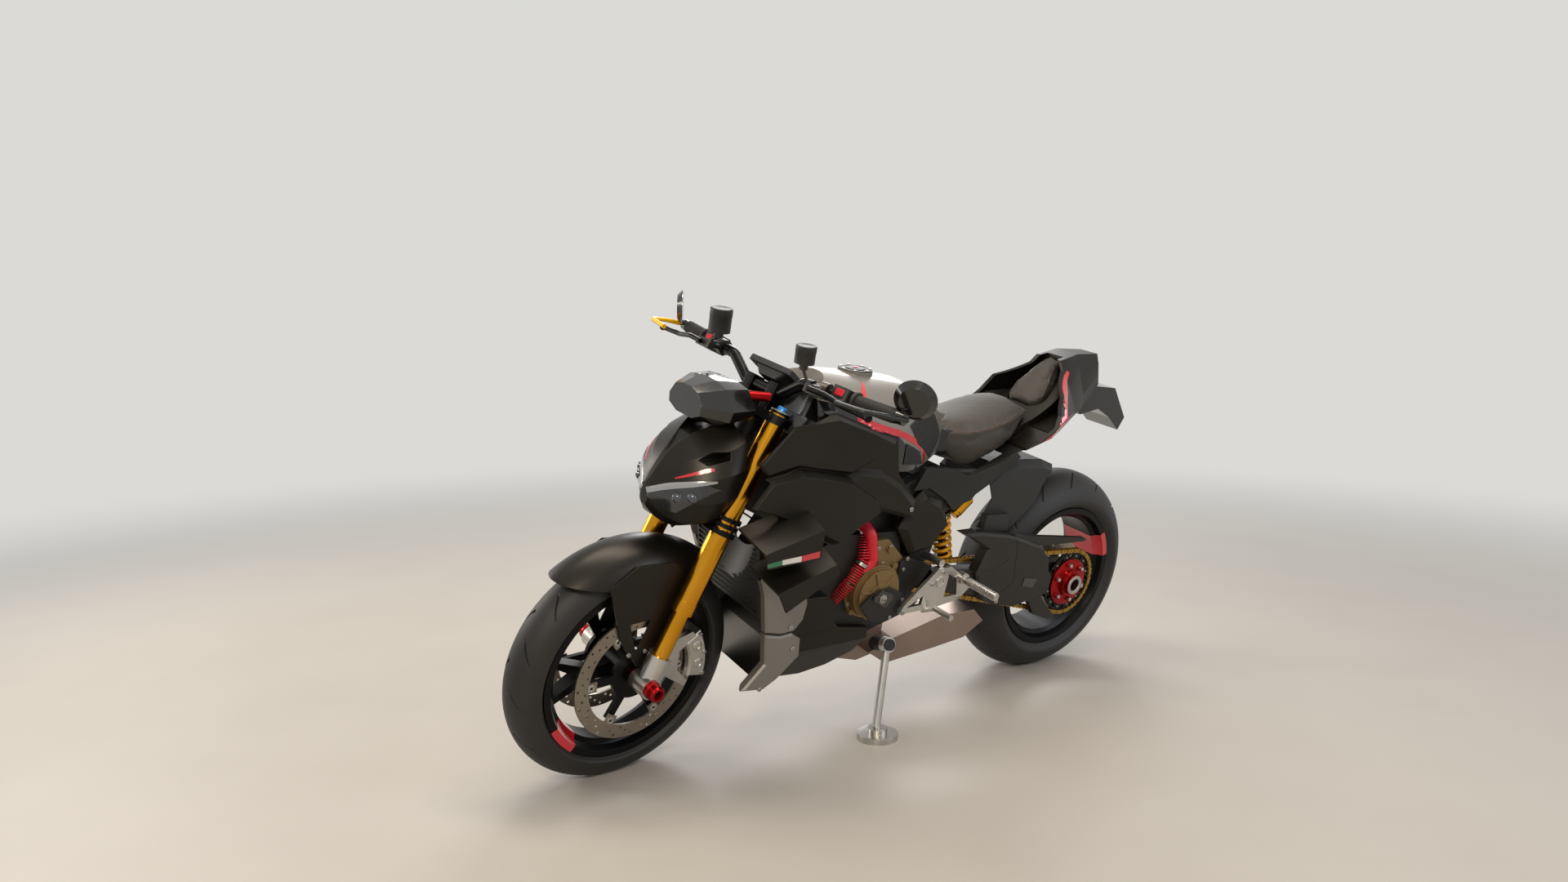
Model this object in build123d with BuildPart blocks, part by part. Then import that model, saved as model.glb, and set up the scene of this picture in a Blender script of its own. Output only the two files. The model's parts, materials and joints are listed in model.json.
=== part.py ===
"""Naked sport motorcycle leaning on its side stand.

Every piece is drawn in the upright motorcycle's own frame, in millimetres: X forward, with the front axle at 1488,
Y to the rider's left, Z up from the floor. Pieces that turn with the bars are drawn with the bars straight,
then turned about the steering axis. At the end the whole machine leans onto its side stand.
"""
from build123d import *
from math import acos, atan2, cos, degrees, hypot, radians, sin, sqrt
import os

# Driving dimensions of the whole machine
WHEELBASE = 1488
FRONT_AXLE_X = 1488
RAKE = 24.5
TRAIL = 100
LEAN = 12.0
PARKED_STEER = 7.0
FRONT_TYRE_R = 300
FRONT_TYRE_HALF = 60
REAR_TYRE_R = 334
REAR_TYRE_HALF = 98
LEG_OFFSET = 28
LEG_SPREAD = 110
STEM_R = 15
RUNNING_FIT = 0.05
MOVING_GAP = 6

# The front axle is the datum along the machine, so a longer wheelbase moves the rear axle back.
REAR_AXLE_X = FRONT_AXLE_X - WHEELBASE
# The steering axis meets the floor one trail ahead of the front contact patch.
STEER_FOOT_X = FRONT_AXLE_X + TRAIL
RAKE_SIN = sin(radians(RAKE))
RAKE_COS = cos(radians(RAKE))
AXLE_AHEAD = FRONT_TYRE_R * RAKE_SIN - TRAIL * RAKE_COS
AXLE_UP_AXIS = TRAIL * RAKE_SIN + FRONT_TYRE_R * RAKE_COS
fork_plane = Plane(
    origin=(STEER_FOOT_X - AXLE_UP_AXIS * RAKE_SIN, 0, AXLE_UP_AXIS * RAKE_COS),
    x_dir=(RAKE_COS, 0, RAKE_SIN),
    z_dir=(-RAKE_SIN, 0, RAKE_COS),
)
steering_axis = Axis(fork_plane.origin, fork_plane.z_dir)
front_wheel_centre = (FRONT_AXLE_X, 0, FRONT_TYRE_R)
rear_wheel_centre = (REAR_AXLE_X, 0, REAR_TYRE_R)

# Heights on the fork, measured from the axle along the legs
CLAMP_SLEEVE_TOP = 74
OUTER_TUBE_LOW = 190
LOWER_YOKE_LOW = 396
LOWER_YOKE_HIGH = 442
UPPER_YOKE_LOW = 684
UPPER_YOKE_HIGH = 706
FORK_TOP = 709

pieces = {}


def keep(builder, name, turns_with_bars=False):
    """Names a finished piece and says whether it turns with the bars."""
    builder.part.label = name
    pieces[name] = (builder.part, turns_with_bars)
    return builder.part


def side_outline(points, y):
    """A closed outline of (x, z) points, drawn in the upright plane at y."""
    with BuildSketch(Plane.XZ.offset(-y)) as outline:
        with BuildLine():
            Polyline(*points, close=True)
        make_face()
    return outline.sketch


def side_plate(points, y_low, y_high):
    """A plate with a side-view outline, between two distances from the centre plane."""
    with BuildPart() as plate:
        extrude(side_outline(points, y_high), amount=y_high - y_low)
    return plate.part


def both_sides(part):
    """The part and its mirror image across the centre plane."""
    with BuildPart() as pair:
        add(part)
        mirror(about=Plane.XZ)
    return pair.part


def cross_section(x, rows):
    """A closed cross-section at x, symmetrical about the centre plane, from (half width, height) rows, low to high."""
    with BuildSketch(Plane.YZ.offset(x)) as section:
        with BuildLine():
            Polyline(*rows, *[(-y, z) for y, z in reversed(rows)], close=True)
        make_face()
    return section.sketch


def crowned_section(x, low, edge, top, low_half, edge_half, bulge=0.0):
    """A symmetrical cross-section at x with a flat floor, bulged sides and an arched top."""
    middle = (low_half + edge_half) / 2 + bulge
    waist = (low + edge) / 2
    with BuildSketch(Plane.YZ.offset(x)) as section:
        with BuildLine():
            Line((-low_half, low), (low_half, low))
            ThreePointArc((low_half, low), (middle, waist), (edge_half, edge))
            ThreePointArc((edge_half, edge), (0, top), (-edge_half, edge))
            ThreePointArc((-edge_half, edge), (-middle, waist), (-low_half, low))
        make_face()
    return section.sketch


def tube_between(start, end, radius, bore=0.0):
    """A straight round tube between two points."""
    along = Vector(*end) - Vector(*start)
    with BuildPart() as tube:
        with BuildSketch(Plane(origin=start, z_dir=along)):
            Circle(radius)
            if bore:
                Circle(bore, mode=Mode.SUBTRACT)
        extrude(amount=along.length)
    return tube.part


def bent_tube(points, bend_radius, radius):
    """A round tube along straight runs joined by tangent arcs."""
    with BuildPart() as tube:
        with BuildLine() as path:
            FilletPolyline(*points, radius=bend_radius)
        start = path.line @ 0
        heading = path.line % 0
        with BuildSketch(Plane(origin=start, z_dir=heading)):
            Circle(radius)
        sweep()
    return tube.part


def fork_point(ahead, left, up):
    """A point given on the fork: ahead of the steering axis, to the left, and up the axis from the axle."""
    return tuple(fork_plane.from_local_coords((ahead, left, up)))


def fork_tubes(radius, low, high):
    """A round length on both fork legs."""
    with BuildPart() as tubes:
        with BuildSketch(fork_plane.offset(low)):
            with Locations((LEG_OFFSET, LEG_SPREAD), (LEG_OFFSET, -LEG_SPREAD)):
                Circle(radius)
        extrude(amount=high - low)
    return tubes.part


def ring_section(centre, points):
    """A closed section of (y, radius) points above a wheel's centre, ready to be turned about its axle."""
    with BuildSketch(Plane(origin=centre, x_dir=(0, 1, 0), z_dir=(1, 0, 0))) as section:
        with BuildLine():
            Polyline(*points, close=True)
        make_face()
    return section.sketch


def turned(centre, points):
    """A piece turned about a wheel's axle from (y, radius) points."""
    with BuildPart() as piece:
        revolve(ring_section(centre, points), axis=Axis(centre, (0, 1, 0)))
    return piece.part


def wheel_plane(centre, y):
    """The side-view plane through a wheel, at y."""
    return Plane(origin=(centre[0], y, centre[2]), x_dir=(1, 0, 0), z_dir=(0, -1, 0))


# Tyres and rims
RIM_FLANGE_R = 230
BEAD_R = 217
FLANGE_LIP = 7
FLANGE_GAP = 1
BARREL_WALL = 8
CROWN_FACETS = 6


def tyre(centre, bead_half, half, radius, shoulder):
    """A road tyre: two upright beads, straight sidewalls and a round crown in flat rings."""
    crown_r = (half**2 + shoulder**2) / (2 * shoulder)
    reach = acos((crown_r - shoulder) / crown_r)
    crown = [
        (crown_r * sin(turn), radius - crown_r + crown_r * cos(turn))
        for turn in [reach * (1 - 2 * step / CROWN_FACETS) for step in range(CROWN_FACETS + 1)]
    ]
    bead_top = RIM_FLANGE_R + FLANGE_GAP
    with BuildPart() as ring:
        revolve(
            ring_section(centre, [
                (-bead_half, BEAD_R), (bead_half, BEAD_R), (bead_half, bead_top), *crown, (-bead_half, bead_top),
            ]),
            axis=Axis(centre, (0, 1, 0)),
        )
    return ring


def rim_barrel(centre, bead_half, well_r):
    """The rim's rolled barrel with both flanges and its drop centre."""
    lip = bead_half + FLANGE_LIP
    return turned(
        centre,
        [
            (-lip, RIM_FLANGE_R),
            (-bead_half, RIM_FLANGE_R),
            (-bead_half, BEAD_R),
            (-bead_half + 14, BEAD_R - 3),
            (-bead_half + 22, well_r + BARREL_WALL),
            (bead_half - 22, well_r + BARREL_WALL),
            (bead_half - 14, BEAD_R - 3),
            (bead_half, BEAD_R),
            (bead_half, RIM_FLANGE_R),
            (lip, RIM_FLANGE_R),
            (lip, BEAD_R - 4),
            (bead_half - 10, BEAD_R - 12),
            (bead_half - 20, well_r),
            (-bead_half + 20, well_r),
            (-bead_half + 10, BEAD_R - 12),
            (-lip, BEAD_R - 4),
        ],
    )


def forked_spoke(root_r, fork_r, tip_r, root_half, arm_half, spread):
    """A Y-shaped spoke pointing up from the wheel's centre: one stem that splits into two arms."""
    tip_x = tip_r * sin(radians(spread))
    tip_y = tip_r * cos(radians(spread))
    slope = atan2(tip_x, tip_y - fork_r)
    side_x = arm_half * cos(slope)
    side_y = arm_half * sin(slope)
    right = [
        (root_half, root_r),
        (root_half * 0.8, fork_r - 18),
        (tip_x + side_x, tip_y - side_y),
        (tip_x - side_x, tip_y + side_y),
        (0, fork_r + 12),
    ]
    return right + [(-x, y) for x, y in reversed(right[:-1])]


def forged_wheel(centre, bead_half, well_r, hub_r, hub_low, hub_high, bore_r, spoke, spoke_low, spoke_high):
    """A wheel with five forked spokes between its hub and barrel."""
    with BuildPart() as wheel:
        add(rim_barrel(centre, bead_half, well_r))
        with BuildSketch(wheel_plane(centre, hub_high)):
            Circle(hub_r)
        extrude(amount=hub_high - hub_low)
        with BuildSketch(wheel_plane(centre, spoke_high)):
            with PolarLocations(0, 5, start_angle=SPOKE_START):
                with BuildLine():
                    Polyline(*[(y, -x) for x, y in spoke], close=True)
                make_face()
        extrude(amount=spoke_high - spoke_low)
        with BuildSketch(wheel_plane(centre, hub_high + 1)):
            Circle(bore_r)
        extrude(amount=hub_high - hub_low + 2, mode=Mode.SUBTRACT)
    return wheel


SPOKE_START = 18
FRONT_BEAD_HALF = 44.5
FRONT_AXLE_R = 12.5
FRONT_HUB_HALF = 55
front_tyre = tyre(front_wheel_centre, FRONT_BEAD_HALF, FRONT_TYRE_HALF, FRONT_TYRE_R, 56)
keep(front_tyre, "front_tyre", True)
front_spoke = forked_spoke(30, 112, 201, 19, 7, 15)
front_rim = forged_wheel(
    front_wheel_centre, FRONT_BEAD_HALF, 194, 40, -FRONT_HUB_HALF, FRONT_HUB_HALF,
    FRONT_AXLE_R + RUNNING_FIT, front_spoke, -19, 19,
)
keep(front_rim, "front_rim", True)

REAR_BEAD_HALF = 76
REAR_AXLE_R = 27
REAR_HUB_LOW = -30
REAR_HUB_HIGH = 48
rear_tyre = tyre(rear_wheel_centre, REAR_BEAD_HALF, REAR_TYRE_HALF, REAR_TYRE_R, 76)
keep(rear_tyre, "rear_tyre")
rear_spoke = forked_spoke(44, 112, 201, 22, 9, 14)
rear_rim = forged_wheel(
    rear_wheel_centre, REAR_BEAD_HALF, 194, 58, REAR_HUB_LOW, REAR_HUB_HIGH,
    REAR_AXLE_R, rear_spoke, -30, 14,
)
keep(rear_rim, "rear_rim")

# Front brake discs: drilled floating rings, each on a black carrier star
DISC_R = 165
DISC_BAND = 36
DISC_FACE = 69
DISC_THICK = 5
BOBBIN_R = 7
BOBBIN_CIRCLE = 122
BOBBIN_COUNT = 6
with BuildPart() as front_discs:
    with BuildSketch(wheel_plane(front_wheel_centre, DISC_FACE + DISC_THICK)):
        Circle(DISC_R)
        Circle(DISC_R - DISC_BAND, mode=Mode.SUBTRACT)
        with PolarLocations(BOBBIN_CIRCLE, BOBBIN_COUNT):
            Rectangle(30, 26)
        with PolarLocations(BOBBIN_CIRCLE, BOBBIN_COUNT):
            Circle(BOBBIN_R, mode=Mode.SUBTRACT)
        for drill_circle, turn in ((DISC_R - 8, 0), (DISC_R - 18, 6), (DISC_R - 28, 12)):
            with PolarLocations(drill_circle, 20, start_angle=turn):
                RegularPolygon(3.6, 6, mode=Mode.SUBTRACT)
    extrude(amount=DISC_THICK)
    mirror(about=Plane.XZ)
keep(front_discs, "front_discs", True)

CARRIER_FACE = 66
with BuildPart() as disc_carriers:
    with BuildSketch(wheel_plane(front_wheel_centre, CARRIER_FACE)):
        Circle(62)
        with PolarLocations(BOBBIN_CIRCLE / 2 + 14, BOBBIN_COUNT):
            Rectangle(BOBBIN_CIRCLE - 28, 20)
        Circle(22, mode=Mode.SUBTRACT)
    extrude(amount=CARRIER_FACE - FRONT_HUB_HALF)
    with BuildSketch(wheel_plane(front_wheel_centre, DISC_FACE + DISC_THICK + 1)):
        with PolarLocations(BOBBIN_CIRCLE, BOBBIN_COUNT):
            Circle(BOBBIN_R)
    extrude(amount=DISC_FACE + DISC_THICK + 1 - CARRIER_FACE)
    mirror(about=Plane.XZ)
front_rim.part += disc_carriers.part
keep(front_rim, "front_rim", True)

# Front axle with its spacers and the crash sliders on both ends
SPACER_R = 18
EYE_IN = 80
EYE_OUT = 140
SLIDER_OUT = 170
with BuildPart() as front_axle:
    add(turned(front_wheel_centre, [
        (0, 0), (SLIDER_OUT - 12, 0), (SLIDER_OUT - 12, 9), (SLIDER_OUT, 12), (SLIDER_OUT, 17),
        (SLIDER_OUT - 6, 20), (EYE_OUT + 12, 21), (EYE_OUT + 9, 19), (EYE_OUT + 6, 22),
        (EYE_OUT, 22), (EYE_OUT, FRONT_AXLE_R), (EYE_IN, FRONT_AXLE_R), (EYE_IN, SPACER_R), (68, SPACER_R),
        (68, FRONT_AXLE_R), (0, FRONT_AXLE_R),
    ]))
    mirror(about=Plane.XZ)
keep(front_axle, "front_axle", True)

# Fork legs: chromed gold inner tubes, fat gold outer tubes and their caps
OUTER_TUBE_R = 27
INNER_TUBE_R = 21.5
with BuildPart() as fork_tubes_pair:
    add(fork_tubes(INNER_TUBE_R, CLAMP_SLEEVE_TOP, OUTER_TUBE_LOW))
    add(fork_tubes(OUTER_TUBE_R, OUTER_TUBE_LOW, FORK_TOP))
    add(fork_tubes(OUTER_TUBE_R + 1.5, OUTER_TUBE_LOW, OUTER_TUBE_LOW + 30))
keep(fork_tubes_pair, "fork_tubes", True)

# Axle clamps: a sleeve under each leg, an eye round the axle and the arms that hold the caliper
EYE_R = 27
with BuildPart() as axle_clamps:
    add(fork_tubes(INNER_TUBE_R + 8, -4, CLAMP_SLEEVE_TOP))
    for side in (1, -1):
        add(tube_between(
            (FRONT_AXLE_X, side * EYE_IN, FRONT_TYRE_R), (FRONT_AXLE_X, side * EYE_OUT, FRONT_TYRE_R), EYE_R))
    CALIPER_ARM = [(1466, 372), (1352, 398), (1340, 384), (1388, 352), (1386, 300), (1352, 262),
                   (1362, 250), (1420, 292), (1478, 318)]
    add(both_sides(side_plate(CALIPER_ARM, 84, 98)))
    add(front_axle.part, mode=Mode.SUBTRACT)
    add(fork_tubes_pair.part, mode=Mode.SUBTRACT)
keep(axle_clamps, "axle_clamps", True)

# Front calipers straddle the discs behind the legs
CALIPER_IN_R = 136
CALIPER_OUT_R = 187
CALIPER_LOW_Y = 50
CALIPER_HIGH_Y = 100
CALIPER_START = 149
CALIPER_SPAN = 42


def caliper(centre, y_low, y_high, disc_low, disc_high, disc_r, start, span, in_r, out_r):
    """A brake caliper: a thick arc across the disc's edge with a slot for the disc."""
    reach = out_r * 1.4
    first = radians(start)
    last = radians(start + span)
    with BuildPart() as body:
        with BuildSketch(wheel_plane(centre, y_high)):
            Circle(out_r)
            Circle(in_r, mode=Mode.SUBTRACT)
            with BuildLine():
                Polyline(
                    (0, 0), (reach * cos(first), reach * sin(first)),
                    (reach * cos(last), reach * sin(last)), close=True)
            make_face(mode=Mode.INTERSECT)
        extrude(amount=y_high - y_low)
        chamfer(body.edges().group_by(Axis.Y)[-1], 5)
        with BuildSketch(wheel_plane(centre, disc_high + MOVING_GAP)):
            Circle(disc_r + MOVING_GAP)
        extrude(amount=disc_high - disc_low + 2 * MOVING_GAP, mode=Mode.SUBTRACT)
    return body.part


with BuildPart() as front_calipers:
    add(both_sides(caliper(
        front_wheel_centre, CALIPER_LOW_Y, CALIPER_HIGH_Y, DISC_FACE, DISC_FACE + DISC_THICK, DISC_R,
        CALIPER_START, CALIPER_SPAN, CALIPER_IN_R, CALIPER_OUT_R)))
keep(front_calipers, "front_calipers", True)
axle_clamps.part -= front_calipers.part
keep(axle_clamps, "axle_clamps", True)

# Yokes: two plates that clamp the legs, on one stem
with BuildPart() as yokes:
    for low, high, ring_r in ((LOWER_YOKE_LOW, LOWER_YOKE_HIGH, 34), (UPPER_YOKE_LOW, UPPER_YOKE_HIGH, 35)):
        with BuildSketch(fork_plane.offset(low)):
            with BuildSketch(mode=Mode.PRIVATE) as eyes:
                with Locations((LEG_OFFSET, LEG_SPREAD), (LEG_OFFSET, -LEG_SPREAD)):
                    Circle(ring_r)
                with Locations((0, 0)):
                    Circle(30)
            make_hull(eyes.sketch.edges())
        extrude(amount=high - low)
    with BuildSketch(fork_plane.offset(LOWER_YOKE_LOW)):
        Circle(STEM_R)
    extrude(amount=UPPER_YOKE_HIGH - LOWER_YOKE_LOW)
    for low in (LOWER_YOKE_LOW + 13, LOWER_YOKE_LOW + 29):
        with BuildSketch(fork_plane.offset(low)):
            with Locations((LEG_OFFSET, LEG_SPREAD + 20), (LEG_OFFSET, -LEG_SPREAD - 20)):
                Rectangle(90, 64)
        extrude(amount=6, mode=Mode.SUBTRACT)
    add(fork_tubes(OUTER_TUBE_R, LOWER_YOKE_LOW, UPPER_YOKE_HIGH), mode=Mode.SUBTRACT)
    add(fork_tubes(OUTER_TUBE_R - 2, FORK_TOP, FORK_TOP + 7))
    add(fork_tubes(11, FORK_TOP + 7, FORK_TOP + 18))

# Handlebar: one tapered tube, up from the clamps and swept back to the grips. Rows: ahead, left, up
BAR_RISE = 800
BAR_CENTRE_UP = 754
BAR_R = 14
BAR_END_R = 11
BAR_KNEE = (24, 135, BAR_RISE)
BAR_END = (-14, 400, 818)
BAR_SHOULDER = (10, 66, BAR_CENTRE_UP)


def on_bar(distance, side=1):
    """A point on the straight outer run of the bar, this far from the centre plane."""
    share = (distance - BAR_KNEE[1]) / (BAR_END[1] - BAR_KNEE[1])
    ahead = BAR_KNEE[0] + share * (BAR_END[0] - BAR_KNEE[0])
    up = BAR_KNEE[2] + share * (BAR_END[2] - BAR_KNEE[2])
    return fork_point(ahead, side * distance, up)


with BuildPart() as handlebar:
    middle = [
        fork_point(BAR_KNEE[0], -BAR_KNEE[1] - 30, BAR_KNEE[2] + 2),
        fork_point(BAR_KNEE[0], -BAR_KNEE[1], BAR_KNEE[2]),
        fork_point(BAR_SHOULDER[0], -BAR_SHOULDER[1], BAR_SHOULDER[2]),
        fork_point(BAR_SHOULDER[0], BAR_SHOULDER[1], BAR_SHOULDER[2]),
        fork_point(BAR_KNEE[0], BAR_KNEE[1], BAR_KNEE[2]),
        fork_point(BAR_KNEE[0], BAR_KNEE[1] + 30, BAR_KNEE[2] + 2),
    ]
    add(bent_tube(middle, 28, BAR_R))
    for side in (1, -1):
        add(tube_between(on_bar(158, side), on_bar(BAR_END[1], side), BAR_END_R))
keep(handlebar, "handlebar", True)

# Grips with their flanges, switch boxes, master cylinders, levers, reservoirs and mirrors
GRIP_START = 282
GRIP_END = 396
with BuildPart() as grips:
    for side in (1, -1):
        add(tube_between(on_bar(GRIP_START, side), on_bar(GRIP_END, side), 16.5))
        add(tube_between(on_bar(GRIP_START, side), on_bar(GRIP_START + 8, side), 23))
        add(tube_between(on_bar(GRIP_START, side), on_bar(GRIP_END, side), BAR_END_R), mode=Mode.SUBTRACT)
keep(grips, "grips", True)


def on_fork_box(centre, size, turn=0.0):
    """A box with rounded upright edges standing square to the fork, at a point given on the fork."""
    spot = fork_plane.offset(centre[2] - size[2] / 2)
    with BuildPart() as box:
        with BuildSketch(spot):
            with Locations(Location((centre[0], centre[1]), turn)):
                RectangleRounded(size[0], size[1], min(size[0], size[1]) * 0.22)
        extrude(amount=size[2])
    return box.part


SWITCH_AT = 246
with BuildPart() as switch_boxes:
    for side in (1, -1):
        switch_centre = (2, side * SWITCH_AT, 806)
        add(on_fork_box(switch_centre, (46, 58, 46), side * -8))
        add(tube_between(on_bar(200, side), on_bar(296, side), BAR_END_R), mode=Mode.SUBTRACT)
keep(switch_boxes, "switch_boxes", True)

# Radial pumps with their clamps on the bar, and the levers that reach out along the grips
PUMP_AT = 196
with BuildPart() as lever_pumps:
    for side in (1, -1):
        add(tube_between(on_bar(PUMP_AT - 12, side), on_bar(PUMP_AT + 12, side), 20))
        pump_root = on_bar(PUMP_AT, side)
        pump_nose = fork_point(66, side * (PUMP_AT + 4), 792)
        add(tube_between(pump_root, pump_nose, 11))
        add(on_fork_box((62, side * (PUMP_AT + 14), 792), (26, 52, 22), 0))
        add(tube_between(on_bar(PUMP_AT - 40, side), on_bar(PUMP_AT + 40, side), BAR_END_R),
            mode=Mode.SUBTRACT)

with BuildPart() as levers:
    for side in (1, -1):
        lever_path = [
            fork_point(82, side * (PUMP_AT + 12), 790),
            fork_point(82, side * (PUMP_AT + 60), 792),
            fork_point(64, side * (PUMP_AT + 120), 786),
            fork_point(66, side * (PUMP_AT + 196), 784),
        ]
        add(bent_tube(lever_path, 30, 6.5))
        with Locations(fork_point(66, side * (PUMP_AT + 198), 784)):
            Sphere(9)
    add(lever_pumps.part, mode=Mode.SUBTRACT)
keep(levers, "levers", True)

# Rows: ahead, left, foot height, radius, height
RESERVOIRS = [(88, 168, 838, 23, 42), (50, -196, 832, 28, 62)]
with BuildPart() as reservoirs:
    for ahead, left, foot, radius, height in RESERVOIRS:
        foot_point = Vector(*fork_point(ahead, left, foot))
        add(tube_between(tuple(foot_point), tuple(foot_point + Vector(0, 0, height)), radius))
        add(tube_between(tuple(foot_point - Vector(0, 0, 14)), tuple(foot_point), radius * 0.45))
        add(tube_between(
            tuple(foot_point - Vector(0, 0, 12)), fork_point(60, left * 1.02 + (8 if left > 0 else -8), 800), 4))
    add(levers.part, mode=Mode.SUBTRACT)
lever_pumps.part += reservoirs.part
keep(lever_pumps, "master_cylinders", True)

# Bar-end mirrors: a clamp on the bar's end, a short stalk and a round glass housing
MIRROR_R = 49
# Rows: side, stalk foot, mirror centre, direction the housing's back faces
MIRRORS = [
    (1, fork_point(2, 412, 806), (1088, 424, 1066), (0.80, 0.52, -0.25)),
    (-1, fork_point(2, -412, 806), (1118, -430, 1072), (0.80, -0.62, -0.10)),
]
with BuildPart() as mirrors:
    for side, foot, centre, facing in MIRRORS:
        add(tube_between(on_bar(GRIP_END + 1, side), on_bar(GRIP_END + 22, side), 15))
        back = Plane(origin=centre, z_dir=facing)
        with BuildSketch(back.offset(-7)):
            Circle(MIRROR_R)
        with BuildSketch(back.offset(7)):
            Circle(MIRROR_R - 14)
        loft()
        stalk_top = back.from_local_coords((0, 0, -2))
        outward = (Vector(*on_bar(GRIP_END + 12, side)) - stalk_top).normalized() * (MIRROR_R - 12)
        add(tube_between(on_bar(GRIP_END + 12, side), tuple(stalk_top + outward), 5.5))
    add(handlebar.part, mode=Mode.SUBTRACT)
    add(grips.part, mode=Mode.SUBTRACT)
keep(mirrors, "mirrors", True)

# Yellow lever guard on the right grip and its black twin on the left
with BuildPart() as lever_guards:
    for side in (1, -1):
        guard_path = [
            on_bar(GRIP_END + 28, side),
            fork_point(46, side * 424, 806),
            fork_point(104, side * 404, 790),
            fork_point(112, side * 330, 784),
        ]
        add(bent_tube(guard_path, 22, 6))
    add(handlebar.part, mode=Mode.SUBTRACT)
    add(mirrors.part, mode=Mode.SUBTRACT)
    add(levers.part, mode=Mode.SUBTRACT)
keep(lever_guards, "lever_guards", True)

# The yokes also carry the bar clamps
with BuildPart() as bar_clamps:
    for side in (1, -1):
        add(on_fork_box((8, side * 44, (UPPER_YOKE_HIGH + BAR_CENTRE_UP + 20) / 2),
                        (44, 30, BAR_CENTRE_UP + 20 - UPPER_YOKE_HIGH)))
    add(handlebar.part, mode=Mode.SUBTRACT)
yokes.part += bar_clamps.part
keep(yokes, "fork_yokes", True)

# Instrument panel
DASH_TILT = 38
dash_plane = Plane(origin=(1140, 0, 1040), x_dir=(0, 1, 0), z_dir=(-sin(radians(DASH_TILT)), 0, cos(radians(DASH_TILT))))
with BuildPart() as dash:
    with BuildSketch(dash_plane):
        with Locations((0, 46)):
            RectangleRounded(156, 96, 10)
    extrude(amount=-14)
    with BuildSketch(dash_plane.offset(-14)):
        with Locations((0, 40)):
            RectangleRounded(110, 60, 8)
    with BuildSketch(dash_plane.offset(-34)):
        with Locations((0, 34)):
            RectangleRounded(70, 40, 8)
    loft()
    add(tube_between(fork_point(-20, 0, UPPER_YOKE_HIGH), fork_point(-20, 0, UPPER_YOKE_HIGH + 84), 8))
keep(dash, "dash", True)

# Headlight cowl: a beaked shell between the legs. Rows: x, then (half width, height) from chin to crown
COWL_SECTIONS = [
    (1284, [(60, 690), (112, 712), (134, 768), (136, 830), (114, 888), (60, 914)]),
    (1342, [(60, 676), (112, 698), (144, 756), (140, 815), (110, 864), (40, 902)]),
    (1400, [(56, 670), (98, 690), (128, 752), (114, 800), (74, 842), (16, 864)]),
    (1440, [(34, 680), (60, 698), (80, 748), (66, 782), (34, 806), (8, 818)]),
    (1472, [(8, 716), (14, 728), (20, 748), (15, 758), (8, 766), (3, 770)]),
]
with BuildPart() as headlight_cowl:
    loft([cross_section(x, rows) for x, rows in COWL_SECTIONS])
    add(fork_tubes(OUTER_TUBE_R + 5, LOWER_YOKE_LOW - 60, FORK_TOP + 40), mode=Mode.SUBTRACT)
    with BuildSketch(fork_plane.offset(LOWER_YOKE_LOW - 80)):
        with Locations((-60 + 62, 0)):
            Rectangle(120, 420)
    extrude(amount=460, mode=Mode.SUBTRACT)
# A shallow V between the brows, open to the rear, and a duct on each cheek
COWL_V = [(1424, 0), (1300, 58), (1270, 58), (1270, -58), (1300, -58)]
COWL_V_SIDE = [(1260, 960), (1260, 896), (1376, 882), (1424, 838), (1440, 870)]
COWL_DUCT = [(84, 842), (106, 834), (124, 848), (116, 866), (94, 862)]
COWL_DUCT_BACK = 1326
with BuildPart() as cowl_cuts:
    with BuildSketch(Plane.XY.offset(820)):
        with BuildLine():
            Polyline(*COWL_V, close=True)
        make_face()
    extrude(amount=160)
    add(side_plate(COWL_V_SIDE, -90, 90), mode=Mode.INTERSECT)
    for side in (1, -1):
        with BuildSketch(Plane.YZ.offset(COWL_DUCT_BACK)):
            with BuildLine():
                Polyline(*[(side * y, z) for y, z in COWL_DUCT], close=True)
            make_face()
        extrude(amount=140)
cowl_shape = headlight_cowl.part - cowl_cuts.part - yokes.part

# The lamps are cut out of the cowl so that their glass follows its skin
LAMP_OUTLINE = [(12, 742), (40, 716), (78, 716), (112, 748), (140, 786), (120, 800), (60, 782), (12, 764)]
with BuildPart() as lamp_prism:
    for side in (1, -1):
        with BuildSketch(Plane.YZ.offset(1340)):
            with BuildLine():
                Polyline(*[(side * y, z) for y, z in LAMP_OUTLINE], close=True)
            make_face()
        extrude(amount=180)
with BuildPart() as headlamps:
    add(cowl_shape & lamp_prism.part)
keep(headlamps, "headlamps", True)
headlight_cowl.part = cowl_shape - lamp_prism.part
keep(headlight_cowl, "headlight_cowl", True)

# Smoked fly screen housing on a stalk above the cowl. Rows: x, then (half width, height)
with BuildPart() as fly_screen:
    loft([
        cross_section(1266, [(50, 918), (102, 936), (113, 960), (78, 1000), (36, 1006)]),
        cross_section(1326, [(50, 908), (98, 930), (108, 958), (72, 1002), (30, 1012)]),
        cross_section(1386, [(30, 926), (62, 940), (64, 962), (44, 990), (16, 998)]),
    ], ruled=True)
    add(cowl_shape, mode=Mode.SUBTRACT)
keep(fly_screen, "fly_screen", True)

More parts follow.
